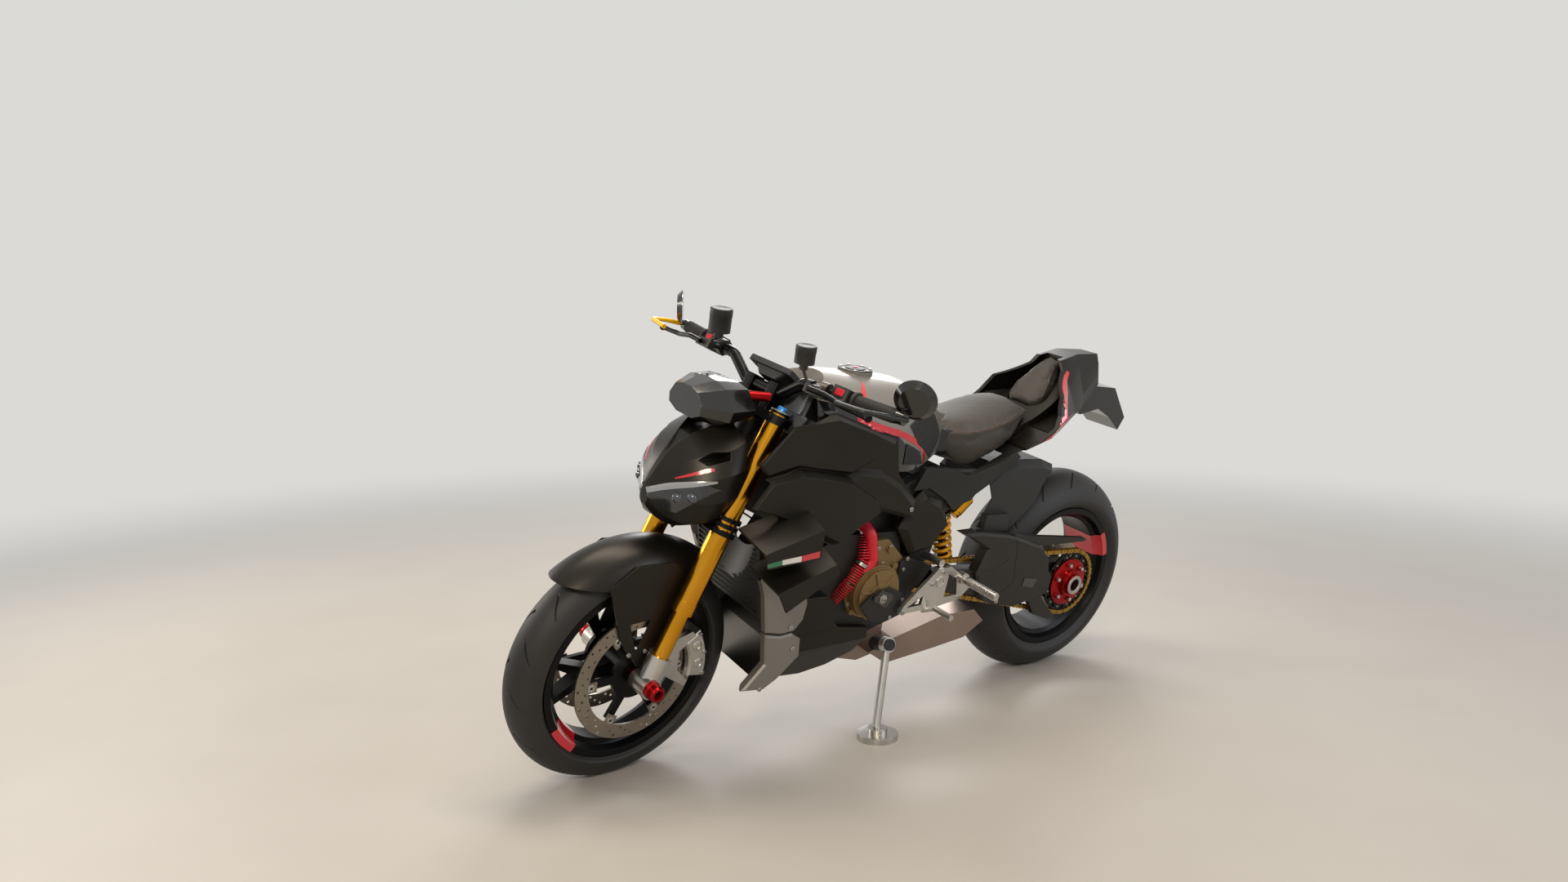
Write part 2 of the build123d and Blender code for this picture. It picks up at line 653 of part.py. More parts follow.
# Front mudguard: an arched blade over the tyre with a strut down each side
GUARD_R = 330
GUARD_SKIN = 3.5
GUARD_HALF = 84
GUARD_EDGE_R = 262
GUARD_KEEP = [(1712, 604), (1716, 566), (1585, 548), (1570, 530), (1396, 540), (1300, 530), (1250, 640), (1420, 700),
              (1640, 680)]
GUARD_STRUT = [(1592, 556), (1566, 470), (1540, 392), (1500, 334), (1474, 330), (1452, 372), (1390, 470),
               (1372, 540), (1420, 590), (1520, 600)]
GUARD_WINDOW = [(1528, 452), (1470, 452), (1504, 372)]
with BuildPart() as front_mudguard:
    with BuildSketch(Plane(origin=front_wheel_centre, x_dir=(0, 1, 0), z_dir=(1, 0, 0))):
        with BuildLine():
            ThreePointArc((-GUARD_HALF, GUARD_EDGE_R), (0, GUARD_R + GUARD_SKIN), (GUARD_HALF, GUARD_EDGE_R))
            Line((GUARD_HALF, GUARD_EDGE_R), (GUARD_HALF - GUARD_SKIN, GUARD_EDGE_R))
            ThreePointArc(
                (GUARD_HALF - GUARD_SKIN, GUARD_EDGE_R), (0, GUARD_R), (-GUARD_HALF + GUARD_SKIN, GUARD_EDGE_R))
            Line((-GUARD_HALF + GUARD_SKIN, GUARD_EDGE_R), (-GUARD_HALF, GUARD_EDGE_R))
        make_face()
    revolve(axis=Axis(front_wheel_centre, (0, 1, 0)), revolution_arc=360)
    add(side_plate(GUARD_KEEP, -120, 120), mode=Mode.INTERSECT)
    add(both_sides(side_plate(GUARD_STRUT, GUARD_HALF - GUARD_SKIN, GUARD_HALF)))
    add(both_sides(side_plate(GUARD_WINDOW, GUARD_HALF - 9, GUARD_HALF + 9)), mode=Mode.SUBTRACT)
    add(fork_tubes_pair.part, mode=Mode.SUBTRACT)
    add(axle_clamps.part, mode=Mode.SUBTRACT)
    add(front_calipers.part, mode=Mode.SUBTRACT)
keep(front_mudguard, "front_mudguard", True)

# Everything on the frame keeps clear of what the steering sweeps: the wheel's ball, the legs and both yokes
LEG_SWEEP_R = 150
# Rows: from and to this height on the fork, radius
COWL_SWEEPS = [(330, 560, 204), (560, 760, 190)]
DASH_SWEEP_R = 116
with BuildPart() as steering_sweep:
    with BuildSketch(Plane(origin=fork_plane.origin, x_dir=fork_plane.x_dir, z_dir=(0, -1, 0))):
        with BuildLine():
            ball = FRONT_TYRE_R + 8
            reach_up = sqrt(ball**2 - AXLE_AHEAD**2)
            ThreePointArc((0, -reach_up), (ball - AXLE_AHEAD, 0), (0, reach_up))
            Line((0, reach_up), (0, -reach_up))
        make_face()
    revolve(axis=steering_axis)
    for low, high, radius in (
        (60, LOWER_YOKE_HIGH + 6, LEG_SWEEP_R),
        (UPPER_YOKE_LOW - 6, FORK_TOP + 24, LEG_SWEEP_R),
        (FORK_TOP + 24, FORK_TOP + 160, DASH_SWEEP_R),
    ):
        with BuildSketch(fork_plane.offset(low)):
            Circle(radius)
        extrude(amount=high - low)

with BuildPart() as cowl_sweep:
    for low, high, radius in COWL_SWEEPS:
        with BuildSketch(fork_plane.offset(low)):
            Circle(radius)
        extrude(amount=high - low)

# Rear axle: a hollow spindle, the red sprocket carrier with its six studs, and the nuts
SPROCKET_AT = 117
CHAIN_HALF = 9
REAR_SPROCKET_R = 104
CARRIER_R = 76
STUD_CIRCLE = 60
STUD_COUNT = 6
with BuildPart() as rear_hub:
    add(turned(rear_wheel_centre, [
        (-46, 20), (-46, 40), (REAR_HUB_LOW, 40), (REAR_HUB_LOW, REAR_AXLE_R), (SPROCKET_AT - 5, REAR_AXLE_R),
        (SPROCKET_AT - 5, CARRIER_R - 6), (SPROCKET_AT - 3, CARRIER_R - 6), (SPROCKET_AT - 3, 50),
        (SPROCKET_AT + 3, 50), (SPROCKET_AT + 3, CARRIER_R), (SPROCKET_AT + 8, CARRIER_R),
        (SPROCKET_AT + 11, 46), (SPROCKET_AT + 24, 42), (SPROCKET_AT + 24, 36), (153, 34), (153, 20),
    ]))
    with BuildSketch(wheel_plane(rear_wheel_centre, SPROCKET_AT + 20)):
        with PolarLocations(STUD_CIRCLE, STUD_COUNT, start_angle=18):
            Circle(8)
    extrude(amount=14)
keep(rear_hub, "rear_hub")

TEETH = 41
with BuildPart() as rear_sprocket:
    with BuildSketch(wheel_plane(rear_wheel_centre, SPROCKET_AT + 3)):
        Circle(REAR_SPROCKET_R - 6)
        with PolarLocations(0, TEETH):
            with BuildLine():
                Polyline(
                    (REAR_SPROCKET_R - 8, -5), (REAR_SPROCKET_R - 3, -2), (REAR_SPROCKET_R - 3, 2),
                    (REAR_SPROCKET_R - 8, 5), close=True)
            make_face()
        Circle(50, mode=Mode.SUBTRACT)
        with PolarLocations(86, 12):
            Circle(7, mode=Mode.SUBTRACT)
    extrude(amount=6)
keep(rear_sprocket, "rear_sprocket")

REAR_DISC_AT = 55
REAR_DISC_R = 122
with BuildPart() as rear_disc:
    with BuildSketch(wheel_plane(rear_wheel_centre, REAR_DISC_AT + 2.5)):
        Circle(REAR_DISC_R)
        Circle(REAR_AXLE_R, mode=Mode.SUBTRACT)
        with PolarLocations(64, 6):
            Circle(14, mode=Mode.SUBTRACT)
        with PolarLocations(100, 18):
            Circle(4, mode=Mode.SUBTRACT)
    extrude(amount=5)
    with BuildSketch(wheel_plane(rear_wheel_centre, REAR_DISC_AT - 2.5)):
        Circle(40)
        Circle(REAR_AXLE_R, mode=Mode.SUBTRACT)
    extrude(amount=REAR_DISC_AT - 2.5 - REAR_HUB_HIGH)
keep(rear_disc, "rear_disc")

# Chain: a closed core of rollers and inner plates round both sprockets, with outer plates on every second link
FRONT_SPROCKET = (660, 450)
FRONT_SPROCKET_R = 38
CHAIN_TALL = 8
CHAIN_PITCH = 15.875
CHAIN_CORE_HALF = 6
CHAIN_CORE_TALL = 5
PLATE_LONG = 13
centre_gap = hypot(FRONT_SPROCKET[0] - REAR_AXLE_X, FRONT_SPROCKET[1] - REAR_TYRE_R)
sprocket_slope = atan2(FRONT_SPROCKET[1] - REAR_TYRE_R, FRONT_SPROCKET[0] - REAR_AXLE_X)


def chain_loop(grow):
    """The outline round both sprockets, this far outside their pitch circles, in the (x, z) plane."""
    rear_r = REAR_SPROCKET_R + grow
    front_r = FRONT_SPROCKET_R + grow
    open_angle = atan2(sqrt(centre_gap**2 - (rear_r - front_r) ** 2), rear_r - front_r)
    spots = []
    for turn, radius, centre in (
        (open_angle, rear_r, (REAR_AXLE_X, REAR_TYRE_R)),
        (open_angle, front_r, FRONT_SPROCKET),
        (0, front_r, FRONT_SPROCKET),
        (-open_angle, front_r, FRONT_SPROCKET),
        (-open_angle, rear_r, (REAR_AXLE_X, REAR_TYRE_R)),
        (radians(180), rear_r, (REAR_AXLE_X, REAR_TYRE_R)),
    ):
        angle = sprocket_slope + turn
        spots.append((centre[0] + radius * cos(angle), centre[1] + radius * sin(angle)))
    return spots


def chain_outline(grow):
    """The closed line round both sprockets, this far outside their pitch circles."""
    spots = chain_loop(grow)
    with BuildLine() as outline:
        Line(spots[0], spots[1])
        ThreePointArc(spots[1], spots[2], spots[3])
        Line(spots[3], spots[4])
        ThreePointArc(spots[4], spots[5], spots[0])
    return outline.line


pitch_line = Wire(chain_outline(0).edges())
link_pairs = round(pitch_line.length / CHAIN_PITCH / 2)
with BuildPart() as chain:
    with BuildSketch(Plane.XZ.offset(-(SPROCKET_AT + CHAIN_CORE_HALF))):
        for grow, mode in ((CHAIN_CORE_TALL, Mode.ADD), (-CHAIN_CORE_TALL, Mode.SUBTRACT)):
            with BuildLine():
                add(chain_outline(grow))
            make_face(mode=mode)
    extrude(amount=2 * CHAIN_CORE_HALF)
    with BuildSketch(Plane.XZ.offset(-(SPROCKET_AT + CHAIN_HALF))):
        for pair in range(link_pairs):
            spot = pitch_line.position_at(pair / link_pairs)
            heading = pitch_line.tangent_at(pair / link_pairs)
            with Locations(Location((spot.X, spot.Y), degrees(atan2(heading.Y, heading.X)))):
                Rectangle(PLATE_LONG, 2 * CHAIN_TALL)
    extrude(amount=2 * CHAIN_HALF)
    with BuildSketch(wheel_plane(rear_wheel_centre, SPROCKET_AT + 4.5)):
        Circle(REAR_SPROCKET_R - 1)
    extrude(amount=9, mode=Mode.SUBTRACT)
keep(chain, "chain")

# Single-sided swingarm: an eye round the spindle, an arm between the chain runs and a moulded cover outside
EYE_INNER = 63.5
EYE_OUTER = 106
COVER_INNER = 128
COVER_OUTER = 168
ARM_PIVOT = (590, 432)


def along_arm(points):
    """Side-view points on the swingarm: the ones near the rear axle follow it, the ones at the pivot stay."""
    return [(x + REAR_AXLE_X * (1 - x / ARM_PIVOT[0]), z) for x, z in points]


ARM_INNER = [(-64, 334), (-52, 380), (0, 398), (70, 404), (160, 408), (172, 372), (160, 330), (70, 282), (0, 268),
             (-52, 290)]
ARM_OUTER = [(140, 406), (300, 430), (560, 462), (606, 460), (616, 430), (600, 404), (560, 400), (300, 336),
             (190, 306), (122, 330), (118, 380)]
ARM_COVER = [(540, 575), (480, 574), (364, 552), (322, 540), (196, 492), (160, 440), (148, 387), (168, 338),
             (206, 324), (282, 313), (373, 335), (429, 357), (467, 442), (436, 516)]
COVER_CHAMFER = 7
ARM_SPEAR = [(322, 541), (120, 512), (0, 494), (-8, 489), (0, 484), (176, 492), (262, 500)]
CHAIN_GUIDE = [(200, 330), (194, 300), (168, 262), (92, 232), (76, 246), (120, 290), (168, 338)]
with BuildPart() as arm_cover:
    add(side_plate(along_arm(ARM_COVER), COVER_INNER, COVER_OUTER))
    chamfer(arm_cover.faces().sort_by(Axis.Y)[-1].edges(), COVER_CHAMFER)
with BuildPart() as swingarm:
    add(turned(rear_wheel_centre, [
        (EYE_INNER, REAR_AXLE_R + RUNNING_FIT), (EYE_OUTER, REAR_AXLE_R + RUNNING_FIT), (EYE_OUTER, 62),
        (EYE_INNER, 62)]))
    add(side_plate(along_arm(ARM_INNER), EYE_INNER + 4, EYE_OUTER))
    add(side_plate(along_arm(ARM_OUTER), EYE_OUTER - 2, 150))
    add(arm_cover.part)
    add(side_plate(along_arm(ARM_SPEAR), 138, 156))
    add(side_plate(along_arm(CHAIN_GUIDE), 132, 150))
    add(tube_between((512, 48, 446), (512, 106, 446), 9))
    with BuildSketch(wheel_plane(rear_wheel_centre, 180)):
        Circle(REAR_SPROCKET_R + CHAIN_TALL + 1)
    extrude(amount=180 - EYE_OUTER, mode=Mode.SUBTRACT)
    with BuildSketch(wheel_plane(rear_wheel_centre, 180)):
        Circle(REAR_AXLE_R + RUNNING_FIT)
    extrude(amount=180, mode=Mode.SUBTRACT)
    add(chain.part, mode=Mode.SUBTRACT)
    with BuildSketch(Plane.XZ.offset(-106)):
        with Locations(ARM_PIVOT):
            Circle(26)
    extrude(amount=64)
keep(swingarm, "swingarm")

# Main frame: the steering head, the box behind it and the engine bolts
HEAD_LOW = LOWER_YOKE_HIGH + 6
HEAD_HIGH = UPPER_YOKE_LOW - 6
FRAME_BOX = [(1262, 712), (1190, 880), (1130, 892), (1000, 850), (940, 760), (980, 660), (1120, 640)]
with BuildPart() as main_frame:
    add(side_plate(FRAME_BOX, -62, 62))
    with BuildSketch(fork_plane.offset(HEAD_LOW)):
        Circle(32)
    extrude(amount=HEAD_HIGH - HEAD_LOW)
    add(steering_sweep.part, mode=Mode.SUBTRACT)
    with BuildSketch(fork_plane.offset(HEAD_LOW - 60)):
        Circle(STEM_R + RUNNING_FIT)
    extrude(amount=HEAD_HIGH - HEAD_LOW + 120, mode=Mode.SUBTRACT)
keep(main_frame, "main_frame")

# Engine: the crankcase block with the two cylinder banks, and the covers on its sides
ENGINE_BLOCK = [(1090, 400), (1120, 520), (1040, 640), (900, 640), (850, 700), (740, 690), (720, 600), (640, 560),
                (625, 500), (590, 470), (590, 400), (640, 340), (800, 300), (1040, 300)]
with BuildPart() as engine:
    add(side_plate(ENGINE_BLOCK, -104, 104))
    add(both_sides(side_plate(
        [(1060, 420), (1060, 560), (960, 610), (760, 600), (736, 520), (736, 380), (800, 340), (1030, 350)],
        104, 132)))
    with BuildSketch(Plane.XZ.offset(-(SPROCKET_AT + 3))):
        with Locations(FRONT_SPROCKET):
            Circle(FRONT_SPROCKET_R - CHAIN_TALL - 0.5)
    extrude(amount=20)
    add(steering_sweep.part, mode=Mode.SUBTRACT)
    add(swingarm.part, mode=Mode.SUBTRACT)
keep(engine, "engine")

# Rows: x, z, radius, inner y, outer y
COVERS = [
    (840, 452, 84, 132, 140), (840, 452, 76, 140, 170), (840, 452, 66, 170, 182), (840, 452, 30, 182, 186),
    (790, 440, 98, -132, -142), (790, 440, 90, -142, -176), (790, 440, 70, -176, -190),
]
CLUTCH = (840, 452)
CLUTCH_BOLTS = 8
CLUTCH_RIBS = 6
HEAD_COVER = [(850, 590), (806, 590), (745, 528), (752, 476), (812, 505), (846, 545)]
with BuildPart() as engine_covers:
    for x, z, radius, y_in, y_out in COVERS:
        with BuildSketch(Plane.XZ.offset(-max(y_in, y_out))):
            with Locations((x, z)):
                Circle(radius)
        extrude(amount=abs(y_out - y_in))
    with BuildSketch(Plane.XZ.offset(-148)):
        with Locations(CLUTCH):
            with PolarLocations(82, CLUTCH_BOLTS):
                Circle(8)
    extrude(amount=16)
    with BuildSketch(Plane.XZ.offset(-186)):
        with Locations(CLUTCH):
            with PolarLocations(46, CLUTCH_RIBS, start_angle=12):
                Rectangle(34, 5)
    extrude(amount=5)
    add(side_plate(HEAD_COVER, 132, 150))
    with BuildSketch(Plane.XZ.offset(-158)):
        with Locations((800, 560), (776, 512)):
            Circle(9)
    extrude(amount=26)
keep(engine_covers, "engine_covers")

# The black protector on the clutch cover and the front sprocket's cover belong to the black engine pieces
PROTECTOR = [(906, 430), (868, 462), (812, 470), (762, 444), (776, 392), (818, 372), (872, 384)]
SPROCKET_COVER = [(736, 532), (640, 494), (662, 466), (724, 410), (760, 420), (760, 520)]
with BuildPart() as engine_guards:
    add(side_plate(PROTECTOR, 186, 192))
    add(side_plate(SPROCKET_COVER, 132, 158))
    add(engine_covers.part, mode=Mode.SUBTRACT)
engine.part += engine_guards.part
keep(engine, "engine")

# Coolant hose down the left side of the engine
HOSE_ROUTE = [(884, 118, 640), (872, 152, 612), (856, 152, 540), (900, 152, 468), (960, 152, 420), (985, 120, 400)]
with BuildPart() as coolant_hose:
    add(bent_tube(HOSE_ROUTE, 26, 16))
    add(engine.part, mode=Mode.SUBTRACT)
    add(engine_covers.part, mode=Mode.SUBTRACT)
    hose_run = coolant_hose.solids().sort_by(SortBy.VOLUME)[-1]
    add(hose_run, mode=Mode.REPLACE)
keep(coolant_hose, "coolant_hose")

# Radiator block behind the front wheel
FLANK_INNER = 153
FIN_PITCH = 14
FIN_COUNT = 15
FIN_DEPTH = 5
RADIATOR = [(1222, 652), (1196, 430), (1150, 430), (1172, 652)]
radiator_slope = (RADIATOR[0][0] - RADIATOR[1][0]) / (RADIATOR[0][1] - RADIATOR[1][1])
with BuildPart() as radiator:
    add(side_plate(RADIATOR, -FLANK_INNER, FLANK_INNER))
    for fin in range(FIN_COUNT):
        slot_low = RADIATOR[1][1] + 8 + fin * FIN_PITCH
        face = RADIATOR[1][0] + (slot_low - RADIATOR[1][1]) * radiator_slope
        slot = [(face - FIN_DEPTH, slot_low), (face + 4, slot_low), (face + 4, slot_low + FIN_PITCH - 5),
                (face - FIN_DEPTH, slot_low + FIN_PITCH - 5)]
        add(side_plate(slot, -FLANK_INNER + 12, FLANK_INNER - 12), mode=Mode.SUBTRACT)
    add(steering_sweep.part, mode=Mode.SUBTRACT)
    add(main_frame.part, mode=Mode.SUBTRACT)
    add(engine.part, mode=Mode.SUBTRACT)
keep(radiator, "radiator")

# Fairing: the side panels beside the tank, the silver radiator flanks, the belly pan and the winglets
FAIRING_BASE = [(1297, 734), (1236, 812), (1262, 878), (1190, 944), (1056, 954), (940, 911), (850, 880),
                (830, 780), (756, 700), (760, 650), (880, 690), (1010, 610), (1110, 640), (1215, 690)]
FAIRING_SHOULDER = [(1262, 842), (1180, 929), (1056, 939), (950, 901), (872, 868), (928, 836), (998, 806),
                    (1093, 822), (1160, 836), (1242, 818)]
FAIRING_SHOULDER_FOOT = [(1270, 838), (1188, 939), (1056, 950), (944, 908), (852, 874), (918, 826), (992, 794),
                         (1093, 808), (1160, 820), (1250, 802)]
FAIRING_MID = [(1283, 746), (1240, 800), (1151, 812), (1093, 802), (1011, 782), (925, 731), (905, 700),
               (962, 668), (1022, 632), (1082, 664), (1225, 728)]
FAIRING_MID_FOOT = [(1297, 742), (1250, 814), (1151, 830), (1093, 820), (1006, 798), (900, 734), (880, 696),
                    (952, 652), (1016, 612), (1084, 646), (1232, 712)]
FAIRING_REAR = [(982, 776), (960, 792), (897, 782), (830, 742), (778, 694), (778, 668), (892, 706)]
FAIRING_REAR_FOOT = [(1000, 786), (968, 806), (894, 796), (818, 752), (758, 700), (760, 652), (898, 692)]
FAIRING_SKIN = 176
# Rows: outline at the skin, outline at the crest, how far out the crest is
FAIRING_SWELLS = [
    (FAIRING_SHOULDER_FOOT, FAIRING_SHOULDER, 192),
    (FAIRING_MID_FOOT, FAIRING_MID, 214),
    (FAIRING_REAR_FOOT, FAIRING_REAR, 190),
]
with BuildPart() as side_fairings:
    extrude(side_outline(FAIRING_BASE, FAIRING_SKIN), amount=FAIRING_SKIN - 154)
    for swell_foot, swell_crest, crest_y in FAIRING_SWELLS:
        loft([side_outline(swell_foot, FAIRING_SKIN), side_outline(swell_crest, crest_y)], ruled=True)
    mirror(about=Plane.XZ)
    add(cowl_sweep.part, mode=Mode.SUBTRACT)
keep(side_fairings, "side_fairings")

FLANK = [(1284, 688), (1256, 620), (1216, 544), (1200, 500), (1186, 398), (1138, 386), (1099, 388), (1074, 416),
         (1066, 459), (1092, 557), (1120, 590), (1190, 672)]
FLANK_LOW = [(1186, 394), (1140, 382), (1104, 384), (1075, 363), (1073, 315), (1134, 262), (1172, 241), (1239, 250),
             (1206, 284), (1178, 313)]
FLANK_SKIN = 176
with BuildPart() as flank_panels:
    for outline in (FLANK, FLANK_LOW):
        add(side_plate(outline, FLANK_INNER, FLANK_SKIN))
    chamfer(flank_panels.faces().sort_by(Axis.Y)[-2:].edges(), 5)
with BuildPart() as radiator_panels:
    add(flank_panels.part)
    add(side_plate([(1150, 420), (1092, 420), (1092, 350), (1150, 350)], FLANK_INNER - 8, FLANK_INNER + 4))
    for cutter in (side_fairings, steering_sweep, cowl_sweep, engine):
        add(cutter.part, mode=Mode.SUBTRACT)
    mirror(about=Plane.XZ)
keep(radiator_panels, "radiator_panels")

BELLY = [(1176, 250), (1112, 226), (1006, 212), (928, 226), (858, 262), (836, 310), (836, 341), (938, 360), (955, 377),
         (1079, 369), (1120, 330)]
# The duct moulding under the hose stands on the pan's edge
HOSE_PANEL = [(1078, 470), (998, 465), (969, 437), (961, 408), (972, 372), (1120, 372), (1084, 420)]
with BuildPart() as belly_pan:
    add(side_plate(BELLY, -150, 150))
    with BuildSketch(Plane.YZ.offset(700)):
        with BuildLine():
            Polyline((-150, 400), (150, 400), (150, 310), (80, 180), (-80, 180), (-150, 310), close=True)
        make_face()
    extrude(amount=600, mode=Mode.INTERSECT)
    add(side_plate(HOSE_PANEL, 134, FLANK_SKIN - 8))
    for cutter in (steering_sweep, engine, radiator_panels, coolant_hose):
        add(cutter.part, mode=Mode.SUBTRACT)
keep(belly_pan, "belly_pan")

# Rows: root outline at the panel, tip outline, lip outline
WINGS = [
    ([(1300, 690), (1130, 738), (1128, 731), (1298, 683)], [(1290, 664), (1132, 706), (1130, 699), (1288, 657)],
     [(1292, 664), (1280, 627), (1133, 634), (1131, 706)]),
    ([(1256, 590), (1080, 650), (1078, 643), (1254, 583)], [(1240, 560), (1082, 612), (1080, 605), (1238, 553)],
     [(1240, 560), (1214, 509), (1069, 585), (1081, 612)]),
]
WING_ROOT = 176
WING_TIP = 284
with BuildPart() as winglets:
    for root, tip, lip in WINGS:
        loft([side_outline(root, WING_ROOT), side_outline(tip, WING_TIP)], ruled=True)
        add(side_plate(lip, WING_TIP - 6, WING_TIP))
    mirror(about=Plane.XZ)
    add(side_fairings.part, mode=Mode.SUBTRACT)
    add(radiator_panels.part, mode=Mode.SUBTRACT)
keep(winglets, "winglets")

# Fuel tank: an arched form cut into a silver top and gloss black sides. Rows: x, low, edge, top, low half, edge half
TANK = [
    (566, 800, 846, 872, 52, 56),
    (640, 790, 905, 936, 92, 96),
    (710, 780, 940, 980, 128, 128),
    (800, 780, 955, 1000, 160, 140),
    (900, 800, 965, 1010, 168, 142),
    (1000, 830, 975, 1016, 160, 132),
    (1066, 880, 985, 1012, 120, 100),
]
with BuildPart() as tank_form:
    loft([crowned_section(*row, 6) for row in TANK])
    add(steering_sweep.part, mode=Mode.SUBTRACT)
    add(main_frame.part, mode=Mode.SUBTRACT)
tank_shape = tank_form.part - side_fairings.part
TANK_LOW_SIDE = [(1100, 975), (1000, 956), (964, 932), (905, 914), (837, 879), (781, 831), (741, 784), (735, 700),
                 (1100, 700)]
tank_band = side_plate(TANK_LOW_SIDE, -300, 300)
with BuildPart() as tank_side_panels:
    add(tank_shape & tank_band)
keep(tank_side_panels, "tank_side_panels")
CAP_AT = (874, 0)
with BuildPart() as fuel_tank:
    add(tank_shape - tank_band)
    with BuildSketch(Plane.XY.offset(1000)):
        with Locations(CAP_AT):
            Circle(46)
    extrude(amount=14)
keep(fuel_tank, "fuel_tank")

# Seat and passenger pad. Rows: x, low, edge, top, low half, edge half
SEAT = [
    (660, 850, 868, 884, 40, 44),
    (600, 800, 858, 876, 88, 92),
    (545, 757, 856, 878, 108, 118),
    (470, 770, 868, 888, 120, 132),
    (392, 796, 886, 906, 112, 126),
    (320, 845, 900, 920, 92, 104),
    (270, 884, 900, 908, 70, 76),
]
with BuildPart() as rider_seat:
    loft([crowned_section(*row, 4) for row in reversed(SEAT)])
    add(fuel_tank.part, mode=Mode.SUBTRACT)
    add(tank_side_panels.part, mode=Mode.SUBTRACT)
keep(rider_seat, "rider_seat")

# Rows: x, low, edge, top, low half, edge half
TAIL = [
    (330, 800, 850, 862, 70, 84),
    (250, 812, 880, 896, 74, 90),
    (160, 868, 930, 948, 70, 84),
    (60, 900, 985, 1000, 56, 66),
    (-30, 950, 1010, 1024, 36, 42),
]
# The tail shell: wide beside the seat, narrow at its raised end. Rows: x, then (half width, height) from the
# lower edge to the spine
TAIL_SHELL = [
    (-42, [(46, 951), (58, 957), (52, 985), (44, 1020), (32, 1048)]),
    (60, [(60, 888), (94, 900), (90, 938), (62, 1000), (42, 1050)]),
    (140, [(76, 856), (122, 872), (134, 906), (100, 962), (48, 1032)]),
    (211, [(90, 836), (150, 850), (172, 892), (142, 950), (66, 1000)]),
    (262, [(100, 820), (168, 836), (182, 866), (160, 896), (80, 940)]),
    (340, [(106, 792), (150, 800), (156, 812), (140, 826), (90, 840)]),
]
TAIL_SIDE = [(350, 780), (336, 806), (299, 826), (262, 863), (234, 898), (226, 921), (211, 950), (176, 978), (140, 1005),
             (132, 1090), (-60, 1090), (-60, 900), (60, 800)]
TAIL_SKIN = 14
TAIL_HOLLOW = [(320, 846), (262, 852), (211, 868), (140, 890), (108, 915), (108, 1060), (320, 1060)]
with BuildPart() as tail_hollow:
    loft([cross_section(x, [(half - TAIL_SKIN, z) for half, z in rows]) for x, rows in TAIL_SHELL], ruled=True)
    add(side_plate(TAIL_HOLLOW, -260, 260), mode=Mode.INTERSECT)
with BuildPart() as tail_shell:
    loft([cross_section(x, rows) for x, rows in TAIL_SHELL], ruled=True)
    add(side_plate(TAIL_SIDE, -260, 260), mode=Mode.INTERSECT)
    add(tail_hollow.part, mode=Mode.SUBTRACT)
with BuildPart() as tail_cowl:
    loft([crowned_section(*row, 4) for row in reversed(TAIL)])
    add(tail_shell.part)
    add(rider_seat.part, mode=Mode.SUBTRACT)
PAD = [(240, 890, 912, 922, 34, 40), (195, 890, 950, 966, 58, 66), (146, 900, 1004, 1020, 36, 42),
       (112, 940, 1020, 1034, 28, 32)]
with BuildPart() as passenger_pad:
    loft([crowned_section(*row, 2) for row in reversed(PAD)])
    add(rider_seat.part, mode=Mode.SUBTRACT)
keep(passenger_pad, "passenger_pad")
tail_cowl.part -= passenger_pad.part
with BuildPart() as tail_lamp:
    add(side_plate([(-30, 1034), (-50, 1032), (-50, 1012), (-30, 1010)], -26, 26))
keep(tail_lamp, "tail_lamp")
tail_cowl.part -= tail_lamp.part

PLATE_ARM = [(57, 962), (-123, 944), (-198, 846), (-176, 806), (-120, 850), (-60, 880), (21, 866), (60, 900)]
with BuildPart() as plate_holder:
    add(side_plate(PLATE_ARM, -62, 62))
    add(tail_cowl.part, mode=Mode.SUBTRACT)
keep(plate_holder, "plate_holder")
keep(tail_cowl, "tail_cowl")

# Frame side plates: the grey castings from the fairing to the tail, and the black covers on them
SIDE_FRAME = [(967, 793), (891, 782), (800, 720), (700, 752), (605, 755), (473, 742), (355, 792), (335, 775),
              (473, 700), (508, 663), (600, 640), (640, 500), (700, 500), (776, 651), (846, 679), (924, 742)]
SUBFRAME_ARM = [(742, 716), (708, 776), (607, 765), (542, 738), (400, 778), (380, 768), (457, 712), (585, 645),
                (621, 680), (687, 720)]
with BuildPart() as frame_side_plates:
    add(side_plate(SIDE_FRAME, 104, 134))
    add(side_plate(SUBFRAME_ARM, 126, 148))
    add(both_sides(side_plate([(720, 700), (700, 740), (560, 740), (560, 700)], 0, 104)))
    add(both_sides(side_plate([(380, 780), (360, 790), (230, 850), (230, 830)], 60, 134)))
    for cutter in (engine, fuel_tank, tank_side_panels, rider_seat, tail_cowl, side_fairings, main_frame):
        add(cutter.part, mode=Mode.SUBTRACT)
    mirror(about=Plane.XZ)
keep(frame_side_plates, "frame_side_plates")

SIDE_COVER = [(738, 694), (710, 718), (686, 697), (636, 679), (600, 607), (654, 545), (728, 535), (780, 616)]
SIDE_COVER_RIDGE = [(722, 680), (706, 700), (690, 684), (650, 664), (620, 610), (664, 560), (720, 552), (758, 616)]
with BuildPart() as side_covers:
    add(side_plate(SIDE_COVER, 134.3, 150))
    loft([side_outline(SIDE_COVER, 150), side_outline(SIDE_COVER_RIDGE, 165)], ruled=True)
    mirror(about=Plane.XZ)
    for cutter in (engine, engine_covers, coolant_hose, frame_side_plates):
        add(cutter.part, mode=Mode.SUBTRACT)
keep(side_covers, "side_covers")

